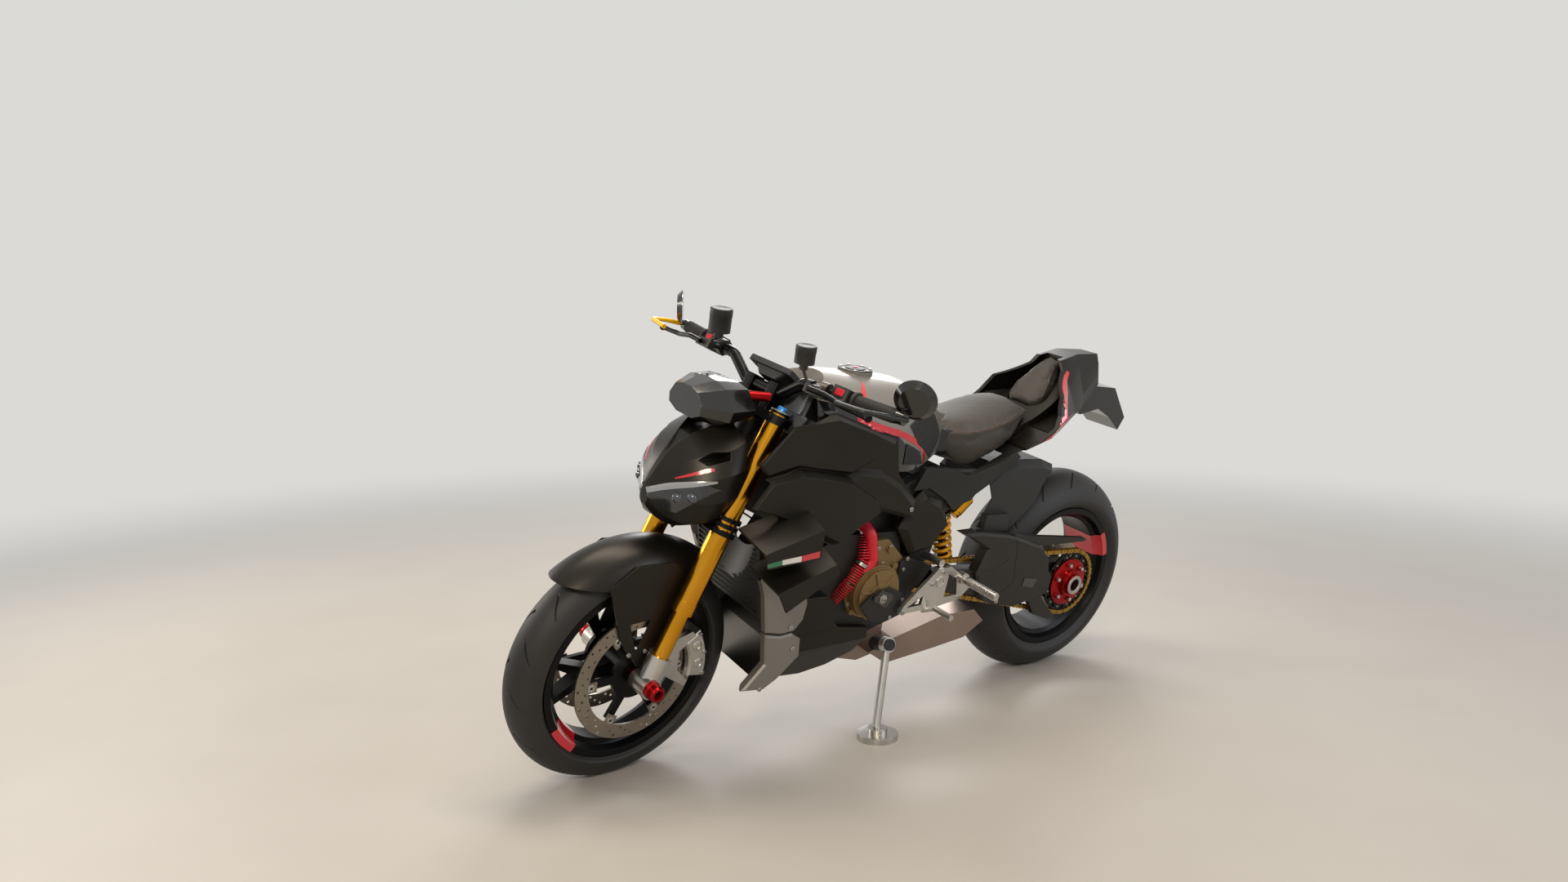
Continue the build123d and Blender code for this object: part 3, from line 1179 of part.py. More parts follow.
# Rear shock with its spring and the gas reservoir
with BuildPart() as rear_shock:
    add(tube_between((556, 72, 612), (520, 72, 470), 30))
    add(tube_between((556, 72, 560), (572, 72, 712), 16))
    add(tube_between((512, 56, 446), (512, 88, 446), 17))
    add(tube_between((470, 90, 655), (520, 90, 610), 19))
    add(tube_between((540, 72, 620), (500, 90, 628), 10))
    for cutter in (engine, swingarm, frame_side_plates, side_covers):
        add(cutter.part, mode=Mode.SUBTRACT)
keep(rear_shock, "rear_shock")

# Exhaust: the collector and the flat silencer under the engine
SILENCER = [(716, 190), (784, 236), (700, 264), (520, 302), (392, 300), (346, 256), (418, 214), (533, 203)]
with BuildPart() as exhaust:
    add(side_plate(SILENCER, -112, 112))
    add(side_plate([(700, 200), (700, 290), (860, 290), (860, 210), (780, 186)], -60, 60))
    add(engine.part, mode=Mode.SUBTRACT)
    add(belly_pan.part, mode=Mode.SUBTRACT)
keep(exhaust, "exhaust")

# Rider's foot controls: plates, pegs and pedals on both sides
REARSET = [(669, 511), (623, 511), (580, 482), (540, 462), (540, 440), (577, 409), (663, 399), (791, 398), (774, 423),
           (693, 491)]
REARSET_WINDOWS = [[(628, 492), (596, 470), (588, 424), (636, 424)], [(768, 414), (712, 440), (716, 414)]]
with BuildPart() as rearsets:
    add(side_plate(REARSET, 204, 214))
    for window in REARSET_WINDOWS:
        add(side_plate(window, 200, 218), mode=Mode.SUBTRACT)
    with BuildSketch(Plane.XZ.offset(-217)):
        with Locations((656, 472)):
            Circle(17)
            Circle(9, mode=Mode.SUBTRACT)
    extrude(amount=8)
    add(tube_between((573, 204, 470), (560, 330, 462), 11))
    add(tube_between((573, 200, 470), (573, 222, 470), 17))
    add(tube_between((700, 204, 392), (684, 236, 409), 7))
    add(tube_between((684, 232, 409), (684, 300, 409), 8))
    for x, z in ((652, 521), (768, 398)):
        add(tube_between((x, 104, z), (x, 204, z), 10))
    mirror(about=Plane.XZ)
    for cutter in (engine, engine_covers, frame_side_plates, side_covers, swingarm, chain):
        add(cutter.part, mode=Mode.SUBTRACT)
keep(rearsets, "rearsets")

# Rear mudguard: a tall hood of sheet over the tyre's front, bolted to the swingarm by a foot on each side
HUGGER_HALF = 108
HUGGER_WALL = 4
HUGGER_BEVEL = 22
HUGGER_TOP = [(408, 716), (376, 742), (300, 752), (190, 744), (136, 724)]
HUGGER_SIDE = [(304, 538), (438, 564), (412, 611), (394, 648), (412, 690), *HUGGER_TOP, (176, 690), (212, 616)]
HUGGER_FOOT = [(430, 562), (330, 548), (330, 600), (424, 606)]
with BuildPart() as rear_hugger:
    add(side_plate(along_arm(HUGGER_SIDE), -HUGGER_HALF, HUGGER_HALF))
    top_corners = rear_hugger.edges().filter_by(lambda e: e.center().Z > 725 and abs(e.center().Y) > HUGGER_HALF - 1)
    chamfer(top_corners, HUGGER_BEVEL)
    # The hollow is two boxes, the upper one narrower so that it stays inside the bevelled corners
    for drop, half in ((HUGGER_WALL, HUGGER_HALF - HUGGER_WALL - HUGGER_BEVEL),
                       (HUGGER_WALL + HUGGER_BEVEL, HUGGER_HALF - HUGGER_WALL)):
        roof = [(x, z - drop) for x, z in HUGGER_TOP]
        hollow = along_arm([(240, 420), (520, 480), (520, 690), *roof, (80, 690), (80, 600)])
        add(side_plate(hollow, -half, half), mode=Mode.SUBTRACT)
    add(side_plate(along_arm(HUGGER_FOOT), HUGGER_HALF - HUGGER_WALL, COVER_INNER))
    with BuildSketch(wheel_plane(rear_wheel_centre, 200)):
        Circle(REAR_TYRE_R + 12)
    extrude(amount=400, mode=Mode.SUBTRACT)
    add(swingarm.part, mode=Mode.SUBTRACT)
    add(frame_side_plates.part, mode=Mode.SUBTRACT)
keep(rear_hugger, "rear_hugger")

# Rear caliper under the swingarm's eye
with BuildPart() as rear_caliper:
    add(caliper(rear_wheel_centre, 36, 82, REAR_DISC_AT - 2.5, REAR_DISC_AT + 2.5, REAR_DISC_R, 218, 34, 92, 148))
    add(side_plate(along_arm([(-60, 220), (-96, 262), (-40, 330), (0, 280)]), 68, 82))
    add(swingarm.part, mode=Mode.SUBTRACT)
keep(rear_caliper, "rear_caliper")


def parked(part, turns_with_bars):
    """The piece as the parked machine has it: bars turned, everything leaning to the left."""
    if turns_with_bars:
        part = part.rotate(steering_axis, PARKED_STEER)
    return part.rotate(Axis.X, -LEAN)


# Side stand: it swings on a pin from its forward stop back along the machine
front_low = parked(front_tyre.part, True).bounding_box().min.Z
rear_low = parked(rear_tyre.part, False).bounding_box().min.Z
STAND_FOOT_X = 822
STAND_FOOT_Y = 244
floor_z = rear_low + (front_low - rear_low) * (STAND_FOOT_X - REAR_AXLE_X) / WHEELBASE
lean_sin = sin(radians(LEAN))
lean_cos = cos(radians(LEAN))


def from_floor(x, y, height):
    """A point given over the floor the machine leans on, in the upright machine's frame."""
    z = height + floor_z
    return (x, y * lean_cos - z * lean_sin, y * lean_sin + z * lean_cos)


STAND_PIVOT = Vector(763, 158, 279)
STAND_AXIS = Vector(0.1055, 0.9168, 0.3852).normalized()
foot = Vector(*from_floor(STAND_FOOT_X, STAND_FOOT_Y, 0))
ankle = Vector(*from_floor(STAND_FOOT_X - 2, STAND_FOOT_Y - 8, 24))
with BuildPart() as side_stand:
    add(tube_between(tuple(STAND_PIVOT - STAND_AXIS * 11), tuple(STAND_PIVOT + STAND_AXIS * 11), 21))
    add(tube_between(tuple(STAND_PIVOT + (ankle - STAND_PIVOT) * 0.05), tuple(ankle), 11))
    up_from_floor = Vector(0, -lean_sin, lean_cos)
    add(tube_between(tuple(foot), tuple(foot + up_from_floor * 16), 55))
    add(tube_between(tuple(foot + up_from_floor * 16), tuple(foot + up_from_floor * 30), 26))
    add(tube_between(tuple(STAND_PIVOT - STAND_AXIS * 30), tuple(STAND_PIVOT + STAND_AXIS * 30),
                     9 + RUNNING_FIT), mode=Mode.SUBTRACT)
keep(side_stand, "side_stand")

with BuildPart() as stand_bracket:
    add(tube_between(tuple(STAND_PIVOT - STAND_AXIS * 62), tuple(STAND_PIVOT - STAND_AXIS * 12), 19))
    add(tube_between(tuple(STAND_PIVOT - STAND_AXIS * 12), tuple(STAND_PIVOT + STAND_AXIS * 14), 9))
    add(tube_between(tuple(STAND_PIVOT + STAND_AXIS * 12), tuple(STAND_PIVOT + STAND_AXIS * 17), 16))
engine.part += stand_bracket.part
engine.part -= belly_pan.part
engine.part -= exhaust.part
keep(engine, "engine")

# Parked on the floor: both tyres down, and the origin under the middle of the whole machine
pitch = degrees(atan2(front_low - rear_low, WHEELBASE))
settled = {
    name: parked(part, turns).rotate(Axis((REAR_AXLE_X, 0, rear_low), (0, 1, 0)), pitch)
    for name, (part, turns) in pieces.items()
}
boxes = [part.bounding_box() for part in settled.values()]
middle_x = (min(box.min.X for box in boxes) + max(box.max.X for box in boxes)) / 2
middle_y = (min(box.min.Y for box in boxes) + max(box.max.Y for box in boxes)) / 2
low_z = min(box.min.Z for box in boxes)
os.makedirs("parts", exist_ok=True)
for name, part in settled.items():
    part = part.moved(Location((-middle_x, -middle_y, -low_z)))
    part.label = name
    export_step(part, "parts/" + name + ".step")
print("moved by", -middle_x, -middle_y, -low_z, "pitch", pitch, "tyres", front_low, rear_low)
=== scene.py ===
import bpy
import bmesh
import json
import math
from mathutils import Matrix, Vector
from mathutils.bvhtree import BVHTree


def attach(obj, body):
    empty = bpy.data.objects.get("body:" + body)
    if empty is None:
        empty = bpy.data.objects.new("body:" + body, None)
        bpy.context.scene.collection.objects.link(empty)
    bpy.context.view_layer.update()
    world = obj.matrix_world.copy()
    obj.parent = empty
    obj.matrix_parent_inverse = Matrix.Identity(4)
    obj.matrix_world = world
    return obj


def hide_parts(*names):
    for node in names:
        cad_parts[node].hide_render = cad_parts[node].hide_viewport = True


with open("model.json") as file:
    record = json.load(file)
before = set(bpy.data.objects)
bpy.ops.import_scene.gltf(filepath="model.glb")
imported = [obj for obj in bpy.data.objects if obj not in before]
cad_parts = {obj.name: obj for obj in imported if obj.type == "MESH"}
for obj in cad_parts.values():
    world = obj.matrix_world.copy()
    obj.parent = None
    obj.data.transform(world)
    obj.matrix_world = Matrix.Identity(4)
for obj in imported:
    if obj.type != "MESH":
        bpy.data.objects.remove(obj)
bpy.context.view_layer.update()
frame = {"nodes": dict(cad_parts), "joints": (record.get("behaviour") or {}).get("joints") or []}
nodes = frame["nodes"]
joints = {joint["name"]: joint for joint in frame["joints"]}

# Upright machine
# The parked machine leans on its stand, so its pieces are drawn in the upright machine's own frame, in
# millimetres: X forward from the rear axle, Y to the rider's left, Z up. The joints give that frame.
RAKE = math.radians(24.5)
REAR_AXLE_UP = 334
MM = 0.001
rear_axle = Vector(joints["rear_wheel_spin"]["pos_m"])
leftward = Vector(joints["rear_wheel_spin"]["axis"]).normalized()
steer_point = Vector(joints["steering_head"]["pos_m"])
steer_up = Vector(joints["steering_head"]["axis"]).normalized()
rake_ahead = leftward.cross(steer_up).normalized()
forward = math.cos(RAKE) * rake_ahead - math.sin(RAKE) * steer_up
upward = math.sin(RAKE) * rake_ahead + math.cos(RAKE) * steer_up
machine = Matrix.Translation(rear_axle) @ Matrix((forward, leftward, upward)).transposed().to_4x4()
machine = machine @ Matrix.Scale(MM, 4) @ Matrix.Translation((0, 0, -REAR_AXLE_UP))

# Steered fork
# Everything that turns with the bars is drawn on the fork: ahead of the steering axis, to the left, and
# up the axis from the height of the front axle, or in the machine's frame as it stands with the bars
# straight.
front_axle = Vector(joints["front_wheel_spin"]["pos_m"])
bars_left = Vector(joints["front_wheel_spin"]["axis"]).normalized()
bars_ahead = bars_left.cross(steer_up).normalized()
fork_foot = steer_point + steer_up * (front_axle - steer_point).dot(steer_up)
fork = Matrix.Translation(fork_foot) @ Matrix((bars_ahead, bars_left, steer_up)).transposed().to_4x4()
fork = fork @ Matrix.Scale(MM, 4)
steered = fork @ Matrix.Rotation(-RAKE, 4, "Y").inverted() @ Matrix.Translation(
    -(machine.inverted() @ fork_foot))

# Camera
# The photograph was taken from the front left at the height of the tank with a wide lens. The camera
# stands at a distance from the rear axle that was fitted to both wheels, the fork and the stand's foot.
CAMERA_FROM_AXLE = Vector((2.5263, 2.2093, 0.7490))
CAMERA_YAW = -0.6039257
CAMERA_PITCH = 0.1025799
CAMERA_ROLL = -0.0041042
FOCAL_PIXELS = 1246.576
PHOTO_WIDTH = 1920
SENSOR_MM = 36
camera_data = bpy.data.cameras.new("camera")
camera_data.sensor_width = SENSOR_MM
camera_data.lens = FOCAL_PIXELS / PHOTO_WIDTH * SENSOR_MM
camera = bpy.data.objects.new("camera", camera_data)
bpy.context.scene.collection.objects.link(camera)
sight = Vector((
    math.sin(CAMERA_YAW) * math.cos(CAMERA_PITCH),
    -math.cos(CAMERA_YAW) * math.cos(CAMERA_PITCH),
    -math.sin(CAMERA_PITCH),
))
level_right = Vector((-math.cos(CAMERA_YAW), -math.sin(CAMERA_YAW), 0))
level_up = level_right.cross(sight)
camera_right = level_right * math.cos(CAMERA_ROLL) + level_up * math.sin(CAMERA_ROLL)
camera_up = level_up * math.cos(CAMERA_ROLL) - level_right * math.sin(CAMERA_ROLL)
camera.matrix_world = Matrix.Translation(rear_axle + CAMERA_FROM_AXLE) @ Matrix(
    (camera_right, camera_up, -sight)).transposed().to_4x4()
bpy.context.scene.camera = camera
bpy.context.scene.view_settings.view_transform = "Standard"

# Studio
# A pale painted floor that fades into a white sky, with a broad ceiling light, a key light from the
# camera's left, a fill and a rim light from behind, so that the satin black panels show their form.
FLOOR_HALF = 60.0
FLOOR_HEX = "#b9b5ae"
FLOOR_MOTTLE_HEX = "#b1ada6"
SKY_HEX = "#dbdad7"
FADE_START = 2.0
FADE_END = 6.5
AMBIENT = 0.34
# Rows: name, place, aim, width, depth, watts, colour
LIGHTS = [
    ("ceiling", (0.3, 0.2, 3.4), (0.0, 0.0, 0.4), 3.0, 0.9, 80, "#fff1df"),
    ("key", (2.9, 3.0, 2.7), (0.2, 0.0, 0.6), 1.4, 0.7, 85, "#ffedd6"),
    ("left_fill", (-2.4, 3.4, 2.0), (-0.3, 0.0, 0.5), 2.2, 0.8, 40, "#eaf0ff"),
    ("rim", (-2.4, -3.2, 2.8), (0.0, 0.0, 0.6), 2.6, 1.0, 85, "#ffffff"),
    ("right_fill", (2.4, -3.0, 1.8), (0.3, 0.0, 0.5), 2.0, 0.9, 45, "#fff6ea"),
]


def linear(hex_colour):
    """An sRGB hex colour as the linear red, green, blue and alpha that a shader takes."""
    parts = [int(hex_colour[i:i + 2], 16) / 255 for i in (1, 3, 5)]
    return [c / 12.92 if c <= 0.04045 else ((c + 0.055) / 1.055) ** 2.4 for c in parts] + [1.0]


def add_node(tree, kind, settings=None, links=None):
    """Adds a node, sets its properties or free inputs, and links inputs from (node, output) pairs."""
    node = tree.nodes.new(kind)
    for name, value in (settings or {}).items():
        if isinstance(name, str) and hasattr(node, name):
            setattr(node, name, value)
        else:
            node.inputs[name].default_value = value
    for name, (source, output) in (links or {}).items():
        tree.links.new(source.outputs[output], node.inputs[name])
    return node


def blank_material(name):
    """A material with an empty node tree."""
    material = bpy.data.materials.new(name)
    material.use_nodes = True
    material.node_tree.nodes.clear()
    return material


def seen_directly(tree):
    """One for camera, reflected and transmitted rays, and nought for the light it gives."""
    ray = add_node(tree, "ShaderNodeLightPath")
    seen = add_node(tree, "ShaderNodeMath", {"operation": "MAXIMUM"}, {
        0: (ray, "Is Camera Ray"), 1: (ray, "Is Glossy Ray")})
    return add_node(tree, "ShaderNodeMath", {"operation": "MAXIMUM"}, {
        0: (seen, 0), 1: (ray, "Is Transmission Ray")})


floor_mesh = bpy.data.meshes.new("floor")
floor_mesh.from_pydata(
    [(-FLOOR_HALF, -FLOOR_HALF, 0), (FLOOR_HALF, -FLOOR_HALF, 0), (FLOOR_HALF, FLOOR_HALF, 0),
     (-FLOOR_HALF, FLOOR_HALF, 0)], [], [(0, 1, 2, 3)])
floor = bpy.data.objects.new("floor", floor_mesh)
bpy.context.scene.collection.objects.link(floor)
floor_paint = blank_material("Pale painted floor")
floor_tree = floor_paint.node_tree
floor_place = add_node(floor_tree, "ShaderNodeTexCoord")
floor_mottle = add_node(floor_tree, "ShaderNodeTexNoise", {"Scale": 3.0},
    {"Vector": (floor_place, "Object")})
floor_tone = add_node(floor_tree, "ShaderNodeMix", {
    "data_type": "RGBA", 6: linear(FLOOR_HEX), 7: linear(FLOOR_MOTTLE_HEX)}, {0: (floor_mottle, "Fac")})
floor_surface = add_node(
    floor_tree, "ShaderNodeBsdfPrincipled", {"Roughness": 0.5}, {"Base Color": (floor_tone, 2)})
floor_reach = add_node(floor_tree, "ShaderNodeVectorMath", {"operation": "LENGTH"},
    {0: (floor_place, "Object")})
floor_fade = add_node(floor_tree, "ShaderNodeMapRange", {
    "interpolation_type": "SMOOTHSTEP", "From Min": FADE_START, "From Max": FADE_END}, {
    "Value": (floor_reach, "Value")})
floor_share = add_node(floor_tree, "ShaderNodeMath", {"operation": "MULTIPLY"}, {
    0: (floor_fade, 0), 1: (seen_directly(floor_tree), 0)})
floor_haze = add_node(floor_tree, "ShaderNodeEmission", {"Color": linear(SKY_HEX), "Strength": 1.0})
floor_mix = add_node(floor_tree, "ShaderNodeMixShader", {}, {
    0: (floor_share, 0), 1: (floor_surface, "BSDF"), 2: (floor_haze, "Emission")})
add_node(floor_tree, "ShaderNodeOutputMaterial", {}, {"Surface": (floor_mix, "Shader")})
floor_mesh.materials.append(floor_paint)

sky = bpy.data.worlds.new("sky")
sky.use_nodes = True
sky.node_tree.nodes.clear()
bpy.context.scene.world = sky
ambient = add_node(sky.node_tree, "ShaderNodeBackground", {"Color": linear("#ffffff"), "Strength": AMBIENT})
backdrop = add_node(sky.node_tree, "ShaderNodeBackground", {"Color": linear(SKY_HEX), "Strength": 1.0})
sky_mix = add_node(sky.node_tree, "ShaderNodeMixShader", {}, {
    0: (seen_directly(sky.node_tree), 0), 1: (ambient, "Background"), 2: (backdrop, "Background")})
add_node(sky.node_tree, "ShaderNodeOutputWorld", {}, {"Surface": (sky_mix, "Shader")})

for name, place, aim, width, depth, watts, tint in LIGHTS:
    lamp = bpy.data.lights.new(name, "AREA")
    lamp.shape = "RECTANGLE"
    lamp.size = width
    lamp.size_y = depth
    lamp.energy = watts
    lamp.color = linear(tint)[:3]
    lamp_object = bpy.data.objects.new(name, lamp)
    lamp_object.matrix_world = Matrix.Translation(place) @ (
        Vector(place) - Vector(aim)).to_track_quat("Z", "Y").to_matrix().to_4x4()
    bpy.context.scene.collection.objects.link(lamp_object)


# Crankcase and cylinders
# The die-cast aluminium case and cylinders are painted satin black over a fine cast grain. The paint is
# rubbed to a paler tone along the edges.
LEAST_ROUGHNESS = 0.02
ROUGHNESS_SPREAD = 0.07


def finish(name, dark, light, roughness, grain, relief, metallic=0.0, edge=0.0, coat=0.0, cloud=90,
        worn=None):
    """A surface with a slow change of tone, a fine grain and, if worn is given, paler edges.

    Grain, relief, edge and cloud are in millimetres.
    """
    material = blank_material(name)
    tree = material.node_tree
    place = add_node(tree, "ShaderNodeTexCoord")
    tone = add_node(tree, "ShaderNodeTexNoise", {"Scale": 1000 / cloud, "Detail": 3.0}, {
        "Vector": (place, "Object")})
    fine = add_node(tree, "ShaderNodeTexNoise", {"Scale": 1000 / grain, "Detail": 2.0}, {
        "Vector": (place, "Object")})
    colour = add_node(tree, "ShaderNodeMix", {
        "data_type": "RGBA", 6: linear(dark), 7: linear(light)}, {0: (tone, "Fac")})
    rough = add_node(tree, "ShaderNodeMapRange", {
        "To Min": max(LEAST_ROUGHNESS, roughness - ROUGHNESS_SPREAD),
        "To Max": roughness + ROUGHNESS_SPREAD}, {"Value": (fine, "Fac")})
    relief_links = {"Height": (fine, "Fac")}
    if edge:
        soft_edge = add_node(tree, "ShaderNodeBevel", {"samples": 4, "Radius": edge * MM})
        relief_links["Normal"] = (soft_edge, "Normal")
    if worn:
        face = add_node(tree, "ShaderNodeNewGeometry")
        flatness = add_node(tree, "ShaderNodeVectorMath", {"operation": "DOT_PRODUCT"}, {
            0: (soft_edge, "Normal"), 1: (face, "Normal")})
        rub = add_node(tree, "ShaderNodeMapRange", {
            "From Min": 0.99, "From Max": 0.86, "To Max": 0.55}, {"Value": (flatness, "Value")})
        patchy = add_node(tree, "ShaderNodeMath", {"operation": "MULTIPLY"},
            {0: (rub, 0), 1: (tone, "Fac")})
        colour = add_node(tree, "ShaderNodeMix", {"data_type": "RGBA", 7: linear(worn)}, {
            0: (patchy, 0), 6: (colour, 2)})
    bump = add_node(tree, "ShaderNodeBump", {"Strength": 0.35, "Distance": relief * MM}, relief_links)
    surface = add_node(tree, "ShaderNodeBsdfPrincipled", {
        "Metallic": metallic, "Coat Weight": coat, "Coat Roughness": 0.08}, {
        "Base Color": (colour, 2), "Roughness": (rough, 0), "Normal": (bump, "Normal")})
    add_node(tree, "ShaderNodeOutputMaterial", {}, {"Surface": (surface, "BSDF")})
    return material


def dress(material, *names):
    """Gives CAD nodes a material."""
    for name in names:
        nodes[name].material_slots[0].material = material


black_casting = finish("Black painted die casting", "#171716", "#242321", metallic=0.3, roughness=0.5,
    grain=2.0, relief=0.2, edge=2.0, worn="#4a4845")
dress(black_casting, "engine", "frame_side_plates")

# Clutch and cylinder covers
# Magnesium covers in a warm bronze coat, held by plated cap screws. A black insert with a bright nut sits
# in the middle of the clutch cover.


def link_piece(name, mesh, body, material):
    """Puts a finished mesh in the scene as a piece that rides on a body."""
    mesh.name = name
    mesh.materials.clear()
    mesh.materials.append(material)
    piece = bpy.data.objects.new(name, mesh)
    bpy.context.scene.collection.objects.link(piece)
    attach(piece, body)
    return piece


SHARP_CORNER = math.radians(38)


def placed_mesh(shape, place):
    """The mesh of a shape drawn in a frame, closed, facing outwards, with its sharp corners kept."""
    bmesh.ops.remove_doubles(shape, verts=shape.verts, dist=0.01)
    bmesh.ops.transform(shape, matrix=place, verts=shape.verts)
    bmesh.ops.recalc_face_normals(shape, faces=shape.faces)
    mesh = bpy.data.meshes.new("shape")
    shape.to_mesh(mesh)
    shape.free()
    mesh.polygons.foreach_set("use_smooth", [True] * len(mesh.polygons))
    mesh.set_sharp_from_angle(angle=SHARP_CORNER)
    return mesh


def as_piece(name, shape, place, body, material):
    """Turns a shape drawn in a frame into a piece."""
    return link_piece(name, placed_mesh(shape, place), body, material)


def bridge(shape, low, high, closed=True):
    """Faces between two rows of corners."""
    for step in range(len(low) if closed else len(low) - 1):
        after = (step + 1) % len(low)
        shape.faces.new((low[step], low[after], high[after], high[step]))


def lathed(rows, sides, start=0.0, sweep=360.0):
    """A shell turned about Z from (radius, height) rows. A third value pulls every second corner in."""
    shape = bmesh.new()
    closed = sweep == 360.0
    count = sides if closed else sides + 1
    rings = []
    for radius, height, *pull in rows:
        ring = []
        for step in range(count):
            angle = math.radians(start + sweep * step / sides)
            reach = radius * (pull[0] if pull and step % 2 else 1)
            ring.append(shape.verts.new((reach * math.cos(angle), reach * math.sin(angle), height)))
        rings.append(ring)
    for low, high in zip(rings, rings[1:]):
        bridge(shape, low, high, closed)
    bmesh.ops.remove_doubles(shape, verts=shape.verts, dist=0.0001)
    return shape


def skin(*names):
    """A search tree over the surfaces of CAD nodes."""
    corners, faces = [], []
    for name in names:
        first = len(corners)
        corners += [vertex.co.copy() for vertex in nodes[name].data.vertices]
        faces += [[first + corner for corner in face.vertices] for face in nodes[name].data.polygons]
    return BVHTree.FromPolygons(corners, faces)


REACH = 0.2


def landed(surface, place, point, toward):
    """Where a line through a point of a frame first meets a surface, in that frame, or None."""
    heading = (place.to_3x3() @ Vector(toward)).normalized()
    hit = surface.ray_cast(place @ Vector(point) - heading * REACH, heading, 2 * REACH)[0]
    return place.inverted() @ hit if hit else None


def repeat_tree():
    """The node tree that sets a unit on every point, turned to its up and ahead directions."""
    tree = bpy.data.node_groups.new("Units on points", "GeometryNodeTree")
    sockets = (("Points", "NodeSocketGeometry"), ("Unit", "NodeSocketObject"),
        ("Unit size", "NodeSocketFloat"), ("Finish", "NodeSocketMaterial"))
    for name, kind in sockets:
        tree.interface.new_socket(name, in_out="INPUT", socket_type=kind)
    tree.interface.new_socket("Result", in_out="OUTPUT", socket_type="NodeSocketGeometry")
    given = add_node(tree, "NodeGroupInput")
    unit = add_node(tree, "GeometryNodeObjectInfo", {}, {"Object": (given, "Unit")})
    ups = add_node(tree, "GeometryNodeInputNamedAttribute", {"data_type": "FLOAT_VECTOR", "Name": "up"})
    aheads = add_node(tree, "GeometryNodeInputNamedAttribute",
        {"data_type": "FLOAT_VECTOR", "Name": "ahead"})
    turn = add_node(tree, "FunctionNodeAxesToRotation", {"primary_axis": "Z", "secondary_axis": "X"}, {
        0: (ups, "Attribute"), 1: (aheads, "Attribute")})
    size = add_node(tree, "ShaderNodeCombineXYZ", {}, {
        "X": (given, "Unit size"), "Y": (given, "Unit size"), "Z": (given, "Unit size")})
    copies = add_node(tree, "GeometryNodeInstanceOnPoints", {},
        {"Points": (given, "Points"), "Instance": (unit, "Geometry"), "Rotation": (turn, 0),
        "Scale": (size, 0)})
    real = add_node(tree, "GeometryNodeRealizeInstances", {}, {"Geometry": (copies, 0)})
    coated = add_node(tree, "GeometryNodeSetMaterial", {},
        {"Geometry": (real, 0), "Material": (given, "Finish")})
    add_node(tree, "NodeGroupOutput", {}, {"Result": (coated, 0)})
    return tree


units_on_points = repeat_tree()
unit_inputs = {item.name: item.identifier for item in units_on_points.interface.items_tree}


def repeated(name, unit, spots, place, body, material):
    """Copies of a unit shape at (point, up, ahead) spots given in a frame, as one piece."""
    turn = place.to_3x3().normalized()
    seats = bpy.data.meshes.new(name)
    seats.from_pydata([place @ Vector(point) for point, _, _ in spots], [], [])
    for key, column in (("up", 1), ("ahead", 2)):
        directions = seats.attributes.new(key, "FLOAT_VECTOR", "POINT")
        for value, spot in zip(directions.data, spots):
            value.vector = (turn @ Vector(spot[column])).normalized()
    unit_object = bpy.data.objects.new("unit", placed_mesh(unit, Matrix.Identity(4)))
    seat_object = bpy.data.objects.new("seats", seats)
    for thing in (unit_object, seat_object):
        bpy.context.scene.collection.objects.link(thing)
    modifier = seat_object.modifiers.new("repeat", "NODES")
    modifier.node_group = units_on_points
    modifier[unit_inputs["Unit"]] = unit_object
    modifier[unit_inputs["Unit size"]] = MM
    modifier[unit_inputs["Finish"]] = material
    depsgraph = bpy.context.evaluated_depsgraph_get()
    depsgraph.update()
    mesh = bpy.data.meshes.new_from_object(seat_object.evaluated_get(depsgraph))
    seat_object.modifiers.clear()
    for thing in (unit_object, seat_object):
        bpy.data.objects.remove(thing)
    return link_piece(name, mesh, body, material)


# Across flats over across corners of a hexagon
HEXAGON = 0.866


def socket_screw(radius, height, socket):
    """A cap screw's head with its hexagon socket."""
    return lathed([
        (0, -1), (radius, -1), (radius, height - 0.7), (radius - 0.7, height), (socket, height, HEXAGON),
        (socket, height * 0.35, HEXAGON), (0, height * 0.3)], 12)


def seats_on(surface, spots, toward, place=machine):
    """Seats where lines through points meet a surface, facing back along them."""
    seats = []
    for point in spots:
        hit = landed(surface, place, point, toward)
        if hit is not None:
            seats.append((hit, [-value for value in toward], (0, 0, 1)))
    return seats


def polar(radius, turns):
    """Spots on a circle, as pairs."""
    return [(radius * math.cos(turn), radius * math.sin(turn)) for turn in turns]


def around(count, radius, start=0.0):
    """Evenly spaced spots on a circle, as pairs."""
    return polar(radius, [start + math.tau * step / count for step in range(count)])


def sided(rows, side):
    """Rows drawn on the left side, or on the right for a side of -1."""
    return [(row[0], side * row[1], *row[2:]) for row in rows]


SIDES = ((1, "left"), (-1, "right"))
bronze_casting = finish("Bronze coated magnesium casting", "#6d5a38", "#87704a", metallic=0.6,
    roughness=0.42, grain=1.6, relief=0.15, edge=1.5, worn="#b8a57c")
dress(bronze_casting, "engine_covers")
bright_screw = finish("Zinc plated steel screw", "#9b9a97", "#bdbbb6", metallic=1.0, roughness=0.28,
    grain=0.6, relief=0.01, edge=0.3)


def add_screws(name, seats, radius, height, socket, place=machine, body="frame", material=bright_screw):
    """Cap screws of one size, as one piece."""
    repeated(name, socket_screw(radius, height, socket), seats, place, body, material)


